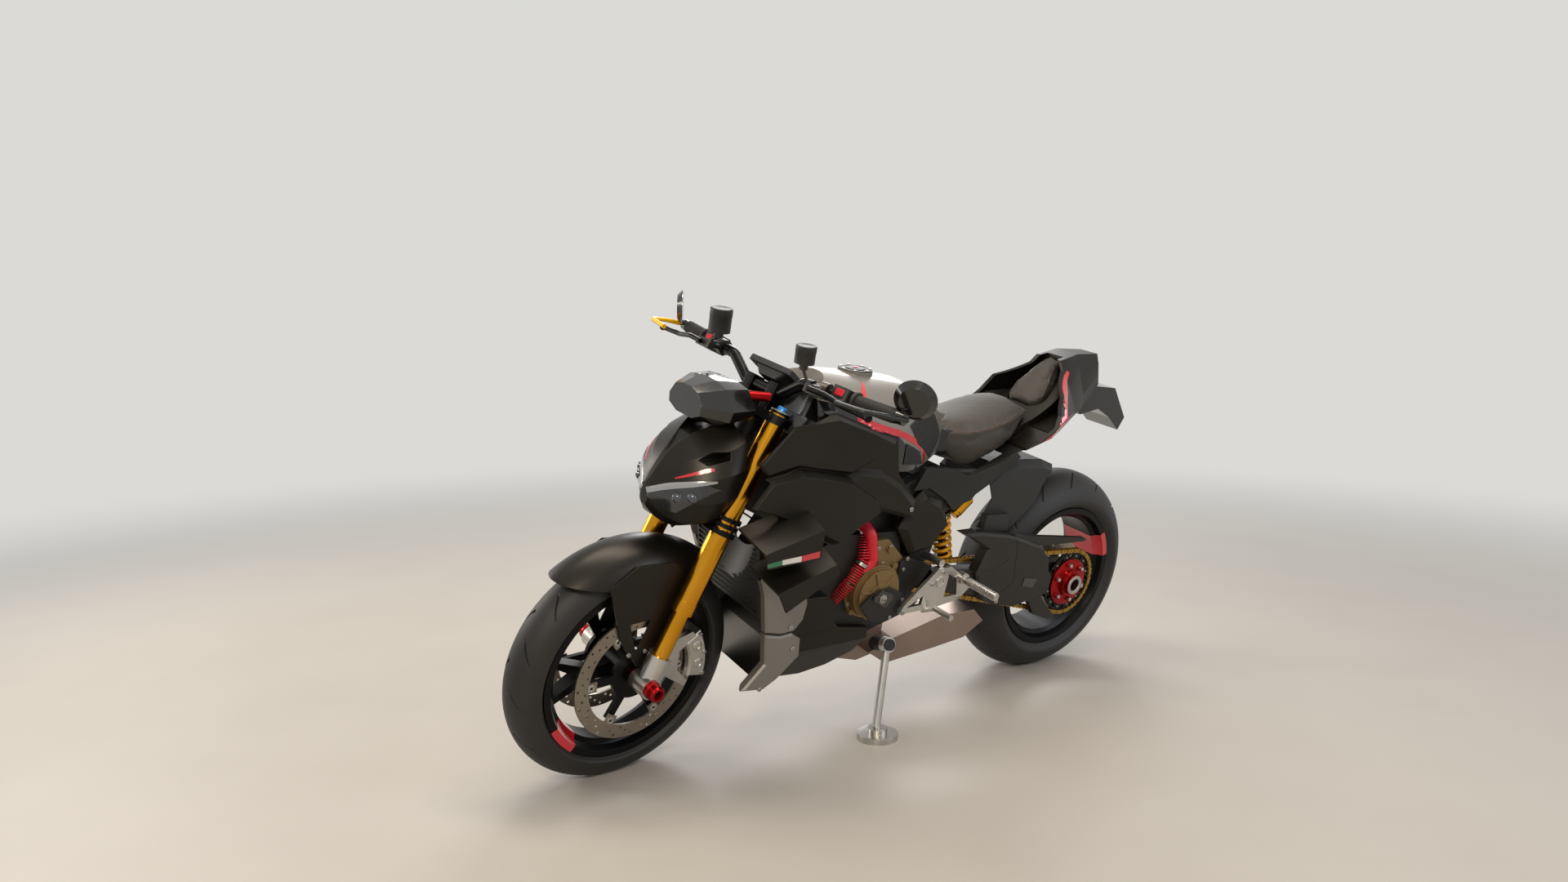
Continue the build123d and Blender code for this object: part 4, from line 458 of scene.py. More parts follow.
ENGINE_SCREWS = [(797, 200, 569), (739, 200, 530), (839, 200, 570), (875, 200, 533), (748, 200, 500)]
CLUTCH_AT = (840, 200, 452)
CLUTCH_SCREW_RING = 76
CLUTCH_SCREWS = 8
CLUTCH_SCREW_START = 0.3
CLUTCH_BOWL = [(872, 444), (871, 456), (845, 470), (809, 454), (803, 442), (827, 416)]
engine_skin = skin("engine_covers", "engine")
clutch_screws = [(CLUTCH_AT[0] + x, CLUTCH_AT[1], CLUTCH_AT[2] + z)
    for x, z in around(CLUTCH_SCREWS, CLUTCH_SCREW_RING, CLUTCH_SCREW_START)]
for side, name in SIDES:
    seats = seats_on(engine_skin, sided(ENGINE_SCREWS + clutch_screws, side), (0, -side, 0))
    add_screws("engine_screws_" + name, seats, radius=5.5, height=5, socket=3)


def bar_plate(corners, low, high):
    """A plate with an (x, z) outline between two distances from the centre plane."""
    shape = bmesh.new()
    rings = [[shape.verts.new((x, y, z)) for x, z in corners] for y in (low, high)]
    shape.faces.new(rings[0])
    shape.faces.new(rings[1][::-1])
    bridge(shape, rings[1], rings[0])
    return shape


black_gloss = finish("Gloss black polycarbonate", "#0b0b0b", "#141413", roughness=0.14,
    grain=6.0, relief=0.01, edge=1.5, coat=0.6)
clutch_insert = bar_plate(CLUTCH_BOWL, 190, 199)
bmesh.ops.bevel(clutch_insert, geom=clutch_insert.edges, offset=2, segments=2, affect="EDGES")
as_piece("clutch_insert", clutch_insert, machine, "frame", black_gloss)
repeated("clutch_nut", lathed([(0, 0), (12, 0), (12, 4), (8, 5), (7.5, 9), (4, 10), (4, 5, HEXAGON),
    (0, 5)], 12), [((842, 198, 446), (0, 1, 0), (0, 0, 1))], machine, "frame", bright_screw)

# Coolant hose
# A red silicone hose wrapped with a fine ribbed texture, held on its spigots by stainless worm clips.
red_silicone = finish("Red silicone rubber", "#b80c20", "#d3162c", roughness=0.4, grain=3.0,
    relief=0.05)
dress(red_silicone, "coolant_hose")
HOSE_ROUTE = [(884, 118, 640), (872, 152, 612), (856, 152, 540), (900, 152, 468), (960, 152, 420),
    (985, 120, 400)]
HOSE_R = 16
HOSE_BEND = 26
HOSE_RIB_PITCH = 7
HOSE_CLIPS = (26, 118, 258)


def rounded_route(points, radius, pitch):
    """Spots every pitch along straight runs joined by tangent arcs, as (point, heading) pairs."""
    corners = [Vector(point) for point in points]
    line = [corners[0]]
    for before, corner, after in zip(corners, corners[1:], corners[2:]):
        back = (before - corner).normalized()
        on = (after - corner).normalized()
        half = back.angle(on) / 2
        middle = corner + (back + on).normalized() * radius / math.sin(half)
        first = corner + back * radius / math.tan(half) - middle
        last = corner + on * radius / math.tan(half) - middle
        line += [middle + first.slerp(last, share / 8) for share in range(9)]
    line.append(corners[-1])
    spots = []
    wait = pitch / 2
    for start, end in zip(line, line[1:]):
        run = end - start
        while wait < run.length:
            spots.append((start + run.normalized() * wait, run.normalized()))
            wait += pitch
        wait -= run.length
    return spots


hose_spots = rounded_route(HOSE_ROUTE, HOSE_BEND, HOSE_RIB_PITCH)
hose_rib = lathed([(HOSE_R - 1, -1.6), (HOSE_R + 0.5, -0.9), (HOSE_R + 0.5, 0.9), (HOSE_R - 1, 1.6),
                   (HOSE_R - 1, -1.6)], 20)
repeated("hose_ribs", hose_rib, [(point, heading, (0, 0, 1)) for point, heading in hose_spots[2:-2]],
         machine, "frame", red_silicone)
clip_spots = rounded_route(HOSE_ROUTE, HOSE_BEND, 1)
hose_clip = lathed([(HOSE_R - 1, -4.5), (HOSE_R + 1.4, -4.5), (HOSE_R + 1.4, 4.5), (HOSE_R - 1, 4.5),
                    (HOSE_R - 1, -4.5)], 24)
repeated("hose_clips", hose_clip, [(*clip_spots[along], (0, 0, 1))
    for along in HOSE_CLIPS if along < len(clip_spots)], machine, "frame", bright_screw)

# Main frame, swingarm and other black mouldings
# The cast aluminium spine and swingarm are powder-coated, and the covers on them are glass-filled nylon
# with a fine spark-eroded grain.
black_moulding = finish("Grained black nylon moulding", "#151514", "#21201f",
    roughness=0.52, grain=1.2, relief=0.08, edge=1.5)
dress(black_moulding, "rear_hugger", "dash", "switch_boxes", "radiator", "main_frame")
arm_coat = finish("Graphite powder coat on cast aluminium", "#1a1917", "#26241f", metallic=0.35,
    roughness=0.42, grain=1.0, relief=0.05, edge=2.0, worn="#56534d")
dress(arm_coat, "swingarm")


def strip(rows, toward, steps=10, lanes=6):
    """A flat band along smooth (x, y, z, half width) rows, spread square to its run and to toward."""
    shape = bmesh.new()
    facing = Vector(toward).normalized()
    points = [Vector(row[:3]) for row in rows]
    halves = [row[3] for row in rows]
    padded = [points[0] * 2 - points[1], *points, points[-1] * 2 - points[-2]]
    line = []
    for index in range(len(points) - 1):
        p0, p1, p2, p3 = padded[index:index + 4]
        for step in range(steps + (index == len(points) - 2)):
            t = step / steps
            spot = 0.5 * (2 * p1 + (p2 - p0) * t + (2 * p0 - 5 * p1 + 4 * p2 - p3) * t * t
                          + (3 * p1 - p0 - 3 * p2 + p3) * t ** 3)
            line.append((spot, halves[index] + (halves[index + 1] - halves[index]) * t))
    rings = []
    for index, (spot, half) in enumerate(line):
        run = line[min(index + 1, len(line) - 1)][0] - line[max(index - 1, 0)][0]
        across = run.cross(facing).normalized()
        rings.append([shape.verts.new(spot + across * half * (2 * lane / lanes - 1))
            for lane in range(lanes + 1)])
    for low, high in zip(rings, rings[1:]):
        bridge(shape, low, high, closed=False)
    return shape


def sheet(corners, spacing=9):
    """A flat patch inside (x, y, z) corners, split until no edge is longer than the spacing."""
    shape = bmesh.new()
    shape.faces.new([shape.verts.new(corner) for corner in corners])
    bmesh.ops.triangulate(shape, faces=shape.faces)
    for _ in range(7):
        long_edges = [edge for edge in shape.edges if edge.calc_length() > spacing]
        if not long_edges:
            break
        bmesh.ops.subdivide_edges(shape, edges=long_edges, cuts=1)
        bmesh.ops.triangulate(shape, faces=shape.faces)
    return shape


FILM_ROOT = 0.3


def laid(name, shape, surface, place, toward, lift, body, material, leap=60):
    """Drops a flat shape onto a surface along toward and thickens it by its lift, in millimetres.

    A corner that would fall further than the leap goes to the nearest spot of the surface.
    """
    heading = Vector(toward).normalized()
    for vertex in shape.verts:
        hit = landed(surface, place, vertex.co, toward)
        if hit is None or (hit - vertex.co).length > leap:
            near = surface.find_nearest(place @ vertex.co)[0]
            hit = place.inverted() @ near
        vertex.co = hit + heading * FILM_ROOT
    top = bmesh.ops.extrude_face_region(shape, geom=shape.faces[:])["geom"]
    for part in top:
        if isinstance(part, bmesh.types.BMVert):
            part.co -= heading * (lift + FILM_ROOT)
    return as_piece(name, shape, place, body, material)


# Swingarm cover details: the seam between its two mouldings, a raised crease and a small plain plate.
black_screw = finish("Black oxide steel screw", "#131313", "#232323", metallic=0.7, roughness=0.4,
    grain=0.6, relief=0.01, edge=0.3)
arm_skin = skin("swingarm")
ARM_SEAM = [(330, 200, 540, 1.0), (318, 200, 500, 1.2), (312, 200, 440, 1.2), (311, 200, 403, 1.2),
    (340, 200, 380, 1.2), (388, 200, 367, 1.0)]
ARM_CREASE = [(470, 200, 447, 0.8), (400, 200, 452, 1.5), (371, 200, 458, 1.5), (338, 200, 478, 1.0)]
ARM_PLATE = [(264, 200, 405), (204, 200, 393), (222, 200, 368), (268, 200, 381)]
laid("arm_seam", strip(ARM_SEAM, (0, -1, 0)), arm_skin, machine, (0, -1, 0), 0.3, "frame", black_screw)
laid("arm_crease", strip(ARM_CREASE, (0, -1, 0)), arm_skin, machine, (0, -1, 0), 1.2, "frame", arm_coat)
laid("arm_plate", sheet(ARM_PLATE), arm_skin, machine, (0, -1, 0), 1.6, "frame", black_gloss)

# Rear shock
# A steel damper with a polished body in a yellow powder-coated spring, and its gas reservoir in gold
# anodise on a short elbow.
yellow_coat = finish("Yellow powder coat", "#e09a00", "#f0ae08", roughness=0.36, grain=1.2,
    relief=0.03)
gold_anodised = finish("Gold anodised aluminium", "#c08418", "#d89a28", metallic=1.0, roughness=0.26,
    grain=0.8, relief=0.01, edge=0.5)
NEARLY_PARALLEL = 0.98


def axis_frame(point, up, ahead=(0, 0, 1)):
    """A frame at a point whose Z runs along up and whose X lies nearest to ahead."""
    z_axis = Vector(up).normalized()
    guide = Vector(ahead)
    if abs(guide.normalized().dot(z_axis)) > NEARLY_PARALLEL:
        guide = Vector((1, 0, 0))
    y_axis = z_axis.cross(guide).normalized()
    x_axis = y_axis.cross(z_axis)
    return Matrix.Translation(point) @ Matrix((x_axis, y_axis, z_axis)).transposed().to_4x4()


SHOCK_TOP = Vector((556, 72, 612))
SHOCK_FOOT = Vector((520, 72, 470))
SPRING_R = 24
SPRING_WIRE = 5.5
SPRING_TURNS = 6


def rod(points, radius, poly=False, rounding=3):
    """A round rod along points, smooth unless poly is set."""
    curve = bpy.data.curves.new("rod", "CURVE")
    curve.dimensions = "3D"
    curve.bevel_depth = radius
    curve.bevel_resolution = rounding
    curve.use_fill_caps = True
    spline = curve.splines.new("POLY" if poly else "NURBS")
    spline.points.add(len(points) - 1)
    for spot, point in zip(spline.points, points):
        spot.co = (*point, 1)
    if not poly:
        spline.order_u = 3
        spline.use_endpoint_u = True
    holder = bpy.data.objects.new("rod", curve)
    mesh = bpy.data.meshes.new_from_object(holder)
    shape = bmesh.new()
    shape.from_mesh(mesh)
    bpy.data.objects.remove(holder)
    bpy.data.meshes.remove(mesh)
    return shape


shock_axis = (SHOCK_TOP - SHOCK_FOOT).normalized()
shock_frame = machine @ axis_frame(SHOCK_FOOT, shock_axis, (1, 0, 0))
spring_length = (SHOCK_TOP - SHOCK_FOOT).length - 2 * SPRING_WIRE
coil = [(SPRING_R * math.cos(turn), SPRING_R * math.sin(turn),
    SPRING_WIRE + spring_length * turn / (math.tau * SPRING_TURNS))
    for turn in [math.tau * step / 16 for step in range(16 * SPRING_TURNS + 1)]]
spring = as_piece("shock_spring", rod(coil, SPRING_WIRE), shock_frame, "frame", yellow_coat)
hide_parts("rear_shock")
damper_rows = [(0, -30), (14, -30), (14, -6), (29, -4), (29, 2), (15, 3), (9, 60), (16, 64), (16, 140),
    (29, 142), (29, 150), (20, 152), (20, 176), (16, 178), (16, 246), (0, 246)]
as_piece("shock_body", lathed(damper_rows, 28), shock_frame, "frame", black_gloss)
RESERVOIR_LOW = Vector((520, 90, 610))
RESERVOIR_HIGH = Vector((470, 90, 655))
reservoir_frame = machine @ axis_frame(RESERVOIR_LOW, RESERVOIR_HIGH - RESERVOIR_LOW, (1, 0, 0))
as_piece("shock_reservoir", lathed([(0, -6), (15, -6), (17, -3), (17, 6), (18.6, 8), (18.6, 52), (19, 54),
    (19, 60), (14, 66), (0, 66)], 28), reservoir_frame, "frame", gold_anodised)
as_piece("shock_elbow", rod([(540, 72, 618), (536, 84, 632), (524, 90, 626), (512, 90, 618)], 8), machine,
    "frame", black_casting)

# Exhaust
# The collector and silencer are brushed titanium sheet, folded and welded, with a faint straw and violet
# heat tint.
titanium = finish("Brushed titanium", "#85746a", "#a8968b", metallic=1.0, roughness=0.36, grain=0.8,
    relief=0.02, edge=2.5, cloud=160)
dress(titanium, "exhaust")

# Chain and sprockets
# A narrow drive chain: forged side plates in a gold zinc finish on hardened pins and rollers, run round a
# steel front sprocket and a black anodised rear one.
gold_chain = finish("Gold zinc chain plate", "#8c6d2a", "#b8954a", metallic=1.0, roughness=0.34,
    grain=1.0, relief=0.03)
CHAIN_PITCH = 15.875
CHAIN_AT = 117
REAR_PITCH_R = 104
FRONT_PITCH_R = 38
FRONT_SPROCKET = Vector((660, 450))
REAR_SPROCKET = Vector((0, REAR_AXLE_UP))


def chain_spots():
    """Every pin of the chain round both sprockets, in the side view."""
    gap = FRONT_SPROCKET - REAR_SPROCKET
    slope = math.atan2(gap.y, gap.x)
    opening = math.acos((REAR_PITCH_R - FRONT_PITCH_R) / gap.length)
    run = math.sqrt(gap.length ** 2 - (REAR_PITCH_R - FRONT_PITCH_R) ** 2)
    front_arc = FRONT_PITCH_R * 2 * opening
    rear_arc = REAR_PITCH_R * (math.tau - 2 * opening)
    total = 2 * run + front_arc + rear_arc
    count = 2 * round(total / CHAIN_PITCH / 2)

    def toward(turn):
        return Vector((math.cos(turn), math.sin(turn)))

    top_start = REAR_SPROCKET + REAR_PITCH_R * toward(slope + opening)
    low_start = FRONT_SPROCKET + FRONT_PITCH_R * toward(slope - opening)
    spots = []
    for step in range(count):
        along = total * step / count
        if along < run:
            spots.append(top_start + along * toward(slope + opening - math.pi / 2))
        elif along < run + front_arc:
            turn = slope + opening - (along - run) / FRONT_PITCH_R
            spots.append(FRONT_SPROCKET + FRONT_PITCH_R * toward(turn))
        elif along < 2 * run + front_arc:
            past = along - run - front_arc
            spots.append(low_start + past * toward(slope - opening - math.pi / 2))
        else:
            turn = slope - opening - (along - 2 * run - front_arc) / REAR_PITCH_R
            spots.append(REAR_SPROCKET + REAR_PITCH_R * toward(turn))
    return spots


def chain_link(inner, outer, pins):
    """Two waisted side plates with rollers or pins at both ends, drawn along X, Z off the sprocket."""
    shape = bmesh.new()
    half = CHAIN_PITCH / 2
    outline = []
    for centre, first in ((half, -90), (-half, 90)):
        for step in range(6):
            turn = math.radians(first + 180 * step / 5)
            outline.append((centre + 7 * math.cos(turn), 7 * math.sin(turn)))
        outline.append((0, 5.2 if first < 0 else -5.2))
    for side in (1, -1):
        rings = [[shape.verts.new((x, side * y, z)) for x, z in outline] for y in (inner, outer)]
        shape.faces.new(rings[0])
        shape.faces.new(rings[1])
        bridge(shape, *rings)
    for centre in (half, -half):
        for low, high, radius in pins:
            ring = lathed([(0, low), (radius, low), (radius, high), (0, high)], 10)
            bmesh.ops.transform(ring, matrix=Matrix.Translation((centre, 0, 0)) @ Matrix.Rotation(
                math.radians(-90), 4, "X"), verts=ring.verts)
            spare = bpy.data.meshes.new("pin")
            ring.to_mesh(spare)
            ring.free()
            shape.from_mesh(spare)
            bpy.data.meshes.remove(spare)
    return shape


# The rollers are drawn slimmer than real ones, so that they clear the sprocket's teeth
chain_pins = chain_spots()
link_seats = {0: [], 1: []}
for index, spot in enumerate(chain_pins):
    following = chain_pins[(index + 1) % len(chain_pins)]
    middle = (spot + following) / 2
    ahead = (following - spot).normalized()
    link_seats[index % 2].append(((middle.x, CHAIN_AT, middle.y), (-ahead.y, 0, ahead.x),
        (ahead.x, 0, ahead.y)))
inner_links = repeated("chain_inner_links", chain_link(inner=4.6, outer=6.2, pins=[(-4.6, 4.6, 3.4)]),
    link_seats[0], machine, "frame", gold_chain)
repeated("chain_outer_links",
    chain_link(inner=6.4, outer=8.0, pins=[(7.9, 9.2, 2.6), (-9.2, -7.9, 2.6)]), link_seats[1], machine,
    "frame", gold_chain)
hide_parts("chain")
black_anodised = finish("Black anodised aluminium", "#111112", "#1b1b1c", metallic=0.8, roughness=0.34,
    grain=1.0, relief=0.01, edge=1.2, worn="#3c3c3e")
dress(black_anodised, "front_rim", "rear_rim", "fork_yokes", "handlebar", "levers", "rear_sprocket",
      "rear_caliper")

# Rear hub and its studs
# The red anodised flange carries the sprocket on six studs with bright domed nuts, round the hollow steel
# spindle.
red_anodised = finish("Red anodised aluminium", "#8a0b10", "#b2141b", metallic=0.9, roughness=0.28,
    grain=0.8, relief=0.01, edge=0.8, worn="#d06a60")
dress(red_anodised, "rear_hub", "front_axle")
STUD_CIRCLE = 60
STUD_FACE = 131
STUDS = 6
STUD_START = math.radians(18)


def side_seats(spots, face, up=0, sides=(1, -1)):
    """Seats that face sideways at (x, z) spots, at a distance from the centre plane."""
    return [((x, side * face, up + z), (0, side, 0), (0, 0, 1)) for side in sides for x, z in spots]


hub_nuts = side_seats(around(STUDS, STUD_CIRCLE, STUD_START), STUD_FACE, REAR_AXLE_UP, sides=(1,))
repeated("hub_nuts", lathed([(0, -1), (8.6, -1), (8.6, 4, HEXAGON), (6.5, 6), (4, 8.5), (0, 9)], 12),
    hub_nuts, machine, "rear_wheel", bright_screw)
spindle_frame = machine @ axis_frame((0, 0, REAR_AXLE_UP), (0, 1, 0))
as_piece("spindle_ring", lathed([(19, 130), (33.6, 130), (33.6, 150), (30, 154.5), (21, 154.5), (19, 152),
    (19, 130)], 36), spindle_frame, "rear_wheel", bright_screw)
RIVETS = 12
RIVET_CIRCLE = 86
RIVET_FACE = 120.6
rivet_seats = side_seats(around(RIVETS, RIVET_CIRCLE, math.tau / RIVETS / 2), RIVET_FACE, REAR_AXLE_UP,
    sides=(1,))
repeated("sprocket_rivets", lathed([(0, -0.5), (3, -0.5), (3, 1), (2, 1.6), (0, 1.7)], 10), rivet_seats,
    machine, "rear_wheel", bright_screw)

# Brake discs
# Floating rings of ground stainless steel, cross-drilled, on black carriers, held by bright bobbins.
disc_steel = finish("Ground stainless steel", "#867e72", "#a39a8c", metallic=1.0, roughness=0.36,
    grain=0.5, relief=0.02, edge=0.4)
dress(disc_steel, "front_discs", "rear_disc")
DISC_OUTER_FACE = 74
BOBBIN_CIRCLE = 122
BOBBINS = 6
WHEELBASE = 1488
FRONT_AXLE_UP = 300
front_wheel = steered @ Matrix.Translation((WHEELBASE, 0, FRONT_AXLE_UP))
bobbins = side_seats(around(BOBBINS, BOBBIN_CIRCLE), DISC_OUTER_FACE)
repeated("disc_bobbins", lathed([(3.2, -0.5), (10, -0.5), (10, 1.6), (8.6, 2.4), (5, 2.4), (3.2, 1.2),
    (3.2, -0.5)], 20), bobbins, front_wheel, "front_wheel", bright_screw)

# Tyres
# Vulcanised rubber with a round crown. Long slanted sipes are moulded into both sides of the tread, by
# turns left and right, and the sidewalls are smooth with a raised bead line.
tyre_rubber = finish("Vulcanised tyre rubber", "#161515", "#201f1e", roughness=0.58,
    grain=1.6, relief=0.12, cloud=60)
SIPE_DEPTH = 4.5
# Rows: share of a pitch, and how deep a left and a right sipe cut there
TREAD_COLUMNS = [(0.00, 0, 0), (0.06, 0, 0), (0.072, 1, 0), (0.125, 1, 0), (0.137, 0, 0), (0.21, 0, 0),
    (0.29, 0, 0), (0.37, 0, 0), (0.45, 0, 0), (0.56, 0, 0), (0.572, 0, 1), (0.625, 0, 1), (0.637, 0, 0),
    (0.71, 0, 0), (0.79, 0, 0), (0.86, 0, 0), (0.93, 0, 0)]


def tyre_shape(bead_half, half, radius, shoulder, pitches, slant, sipe_from, sipe_to):
    """A tyre about the Y axis, with sipes between two distances off its centre line."""
    crown_r = (half ** 2 + shoulder ** 2) / (2 * shoulder)
    reach = math.asin(half / crown_r)
    profile = []
    for step in range(37):
        turn = reach * (1 - 2 * step / 36)
        profile.append((crown_r * math.sin(turn), radius - crown_r + crown_r * math.cos(turn)))
    wall_foot = (bead_half + 2, 231)
    walls = []
    for side in (1, -1):
        wall = []
        for share in (0.12, 0.3, 0.5, 0.7, 0.86, 0.93, 0.97, 1.0):
            swell = 5 * math.sin(math.pi * min(1, share * 1.05)) + (1.4 if share == 0.93 else 0)
            wall.append((side * (half + (wall_foot[0] - half) * share + swell),
                         radius - shoulder + (wall_foot[1] - radius + shoulder) * share))
        walls.append(wall)
    rows = [(bead_half, 217), (bead_half, 229)] + walls[0][::-1] + profile + walls[1] + [
        (-bead_half, 229), (-bead_half, 217)]
    shape = bmesh.new()
    rings = []
    for pitch in range(pitches):
        for share, left, right in TREAD_COLUMNS:
            ring = []
            for y, distance in rows:
                cut = left if y > 0 else right
                deep = SIPE_DEPTH * cut if sipe_from <= abs(y) <= sipe_to else 0
                lag = slant * min(1, max(0, (abs(y) - sipe_from) / (half - sipe_from)))
                turn = math.tau * (pitch + share) / pitches - lag / radius
                ring.append(shape.verts.new((
                    (distance - deep) * math.cos(turn), y, (distance - deep) * math.sin(turn))))
            rings.append(ring)
    for ring, after in zip(rings, rings[1:] + rings[:1]):
        bridge(shape, ring, after)
    return shape


rear_wheel = machine @ Matrix.Translation((0, 0, REAR_AXLE_UP))
front_tyre = as_piece("front_tyre_tread", tyre_shape(bead_half=44.5, half=60, radius=300, shoulder=56,
    pitches=15, slant=75, sipe_from=14, sipe_to=44), front_wheel, "front_wheel", tyre_rubber)
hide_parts("front_tyre")
rear_tyre = as_piece("rear_tyre_tread", tyre_shape(bead_half=76, half=98, radius=334, shoulder=76,
    pitches=15, slant=90, sipe_from=24, sipe_to=76), rear_wheel, "rear_wheel", tyre_rubber)
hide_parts("rear_tyre")

# Painted rim sectors
# A block of red lacquer on each black rim, across the barrel and out over the flange on the left side.
red_lacquer = finish("Red lacquer", "#b40a1c", "#cc1026", roughness=0.22, grain=2.0,
    relief=0.005, coat=0.8)


def rim_sector(name, place, lip, bead_half, well_r, start, sweep, body):
    """A painted coat over part of the rim: the flange face, its inner slope and the drop centre."""
    rows = [(231.0, lip + 0.4), (212.4, lip + 0.4), (204.4, bead_half - 10),
        (well_r - 0.6, bead_half - 20), (well_r - 0.6, -bead_half + 20), (well_r + 0.6, -bead_half + 20),
        (well_r + 0.6, bead_half - 20), (205.6, bead_half - 9), (213.0, lip - 0.6), (229.6, lip - 0.6),
        (231.0, lip + 0.4)]
    shape = lathed(rows, 16, start, sweep)
    bmesh.ops.holes_fill(shape, edges=shape.edges, sides=0)
    as_piece(name, shape, place @ axis_frame((0, 0, 0), (0, 1, 0), (0, 0, 1)), body, red_lacquer)


rim_sector("rear_rim_sector", rear_wheel, lip=83, bead_half=76, well_r=194, start=-78, sweep=22,
    body="rear_wheel")
rim_sector("front_rim_sector", front_wheel, lip=51.5, bead_half=44.5, well_r=194, start=118, sweep=22,
    body="front_wheel")

# Fork legs
# Steel tubes in a gold nitride coat in gold anodised outers, with bright silver caps, blue adjuster nuts
# and black clamp bolts in the yokes.
gold_coat = finish("Gold nitride on ground steel", "#c4851a", "#dca030", metallic=1.0, roughness=0.2,
    grain=0.8, relief=0.004)
dress(gold_coat, "fork_tubes")
blue_anodised = finish("Blue anodised aluminium", "#2d6fb0", "#4b8fce", metallic=0.9, roughness=0.28,
    grain=0.8, relief=0.01, edge=0.5)
LEG_AHEAD = 28
LEG_LEFT = 110
FORK_CAP = 709
leg_tops = [((LEG_AHEAD, side * LEG_LEFT, FORK_CAP), (0, 0, 1), (1, 0, 0)) for side in (1, -1)]
repeated("fork_caps", lathed([(12, 6), (25.6, 6), (25.6, 8), (24, 9), (16, 9.5), (12, 11), (12, 6)], 32),
    leg_tops, fork, "steering", bright_screw)
repeated("fork_adjusters", lathed([(0, 6), (13, 6), (13, 18, HEXAGON), (11.5, 20, HEXAGON), (6, 20),
    (5, 17), (0, 17)], 12), leg_tops, fork, "steering", blue_anodised)


YOKE_BOLTS = [(LEG_AHEAD + 26, LEG_LEFT + 8, 695), (LEG_AHEAD + 26, LEG_LEFT + 8, 404),
              (LEG_AHEAD + 26, LEG_LEFT + 8, 420), (LEG_AHEAD + 26, LEG_LEFT + 8, 436)]
yoke_skin = skin("fork_yokes")
yoke_seats = seats_on(yoke_skin, YOKE_BOLTS + sided(YOKE_BOLTS, -1), (-1, 0, 0), fork)
add_screws("yoke_bolts", yoke_seats, radius=6, height=5, socket=3.2, place=fork, body="steering",
    material=black_screw)
DAMPER = [(1283, 40, 980), (1240, 58, 978), (1196, 74, 976)]
as_piece("steering_damper", rod(DAMPER, 12, poly=True), steered, "steering", red_anodised)

# Front brakes and axle
# Machined aluminium calipers on cast clamps, clear anodised, each with two piston caps and three bolts.
# The axle ends in red anodised sliders with black hexagon sockets.
bright_aluminium = finish("Clear anodised aluminium", "#aaa8a3", "#c9c7c1", metallic=1.0, roughness=0.32,
    grain=0.7, relief=0.02, edge=1.0)
dress(bright_aluminium, "axle_clamps", "front_calipers", "rearsets", "side_stand")
grey_anodised = finish("Grey anodised aluminium", "#3d3b38", "#524f4a", metallic=0.9, roughness=0.42,
    grain=0.8, relief=0.02, edge=1.0)
dress(grey_anodised, "master_cylinders")
PISTON_CIRCLE = 162
PISTON_TURNS = [math.radians(160), math.radians(178)]
PISTON_FACE = 100
BOLT_CIRCLE = 180
BOLT_TURNS = [math.radians(151), math.radians(169), math.radians(188)]
BOLT_FACE = 99
SLIDER_FACE = 158.2
caps = side_seats(polar(PISTON_CIRCLE, PISTON_TURNS), PISTON_FACE)
bolts = side_seats(polar(BOLT_CIRCLE, BOLT_TURNS), BOLT_FACE)
repeated("caliper_caps", lathed([(0, -1), (13, -1), (13, 2), (11, 3), (8, 3), (7, 1.5), (0, 1.5)], 24),
    caps, front_wheel, "steering", bright_aluminium)
add_screws("caliper_bolts", bolts, radius=5, height=5, socket=2.8, place=front_wheel, body="steering")
repeated("slider_sockets", lathed([(0, 0), (8.8, 0), (8.8, 2), (6, 2, HEXAGON), (6, 0.6, HEXAGON),
    (0, 0.6)], 12), side_seats([(0, 0)], SLIDER_FACE), front_wheel, "steering", black_anodised)

# Painted bodywork
# ABS mouldings in a matt graphite lacquer with a fine metal flake. Its warm brownish tint is painted sheen:
# it stands in for the warm cast of the lights on its highlights. Bright cap screws hold the panels.
satin_black = finish("Matt graphite lacquer on ABS", "#1a1815", "#28251f", metallic=0.6, roughness=0.36,
    grain=0.9, relief=0.012, edge=3.0, cloud=220)
dress(satin_black, "headlight_cowl", "side_fairings", "belly_pan", "winglets", "tail_cowl",
    "front_mudguard", "side_covers")
dress(black_gloss, "fly_screen", "mirrors", "tank_side_panels", "plate_holder")


def both_sides(surface, rows, place=machine):
    """Seats on both sides from rows drawn on the left."""
    return [seat for side in (1, -1)
        for seat in seats_on(surface, sided(rows, side), (0, -side, 0), place)]


guard_skin = skin("front_mudguard")
GUARD_SCREWS = [(1525, 84, 372), (1480, 84, 372), (1506, 84, 400)]
guard_seats = both_sides(guard_skin, GUARD_SCREWS, steered)
add_screws("mudguard_screws", guard_seats, radius=6, height=4, socket=3, place=steered, body="steering")
flank_skin = skin("radiator_panels", "belly_pan", "side_fairings", "frame_side_plates")
FLANK_SCREWS = [(1113, 176, 403), (1187, 176, 248), (1100, 176, 342), (783, 190, 686)]
flank_seats = both_sides(flank_skin, FLANK_SCREWS)
add_screws("flank_screws", flank_seats, radius=6.5, height=4, socket=3)

# Silver paint
# The tank and the radiator's flanks carry a silver metallic lacquer under clear.
silver_paint = finish("Silver metallic lacquer", "#75726c", "#88857f", metallic=0.6, roughness=0.46,
    grain=0.7, relief=0.006, edge=2.5, coat=0.3, cloud=220)
dress(silver_paint, "fuel_tank", "radiator_panels")

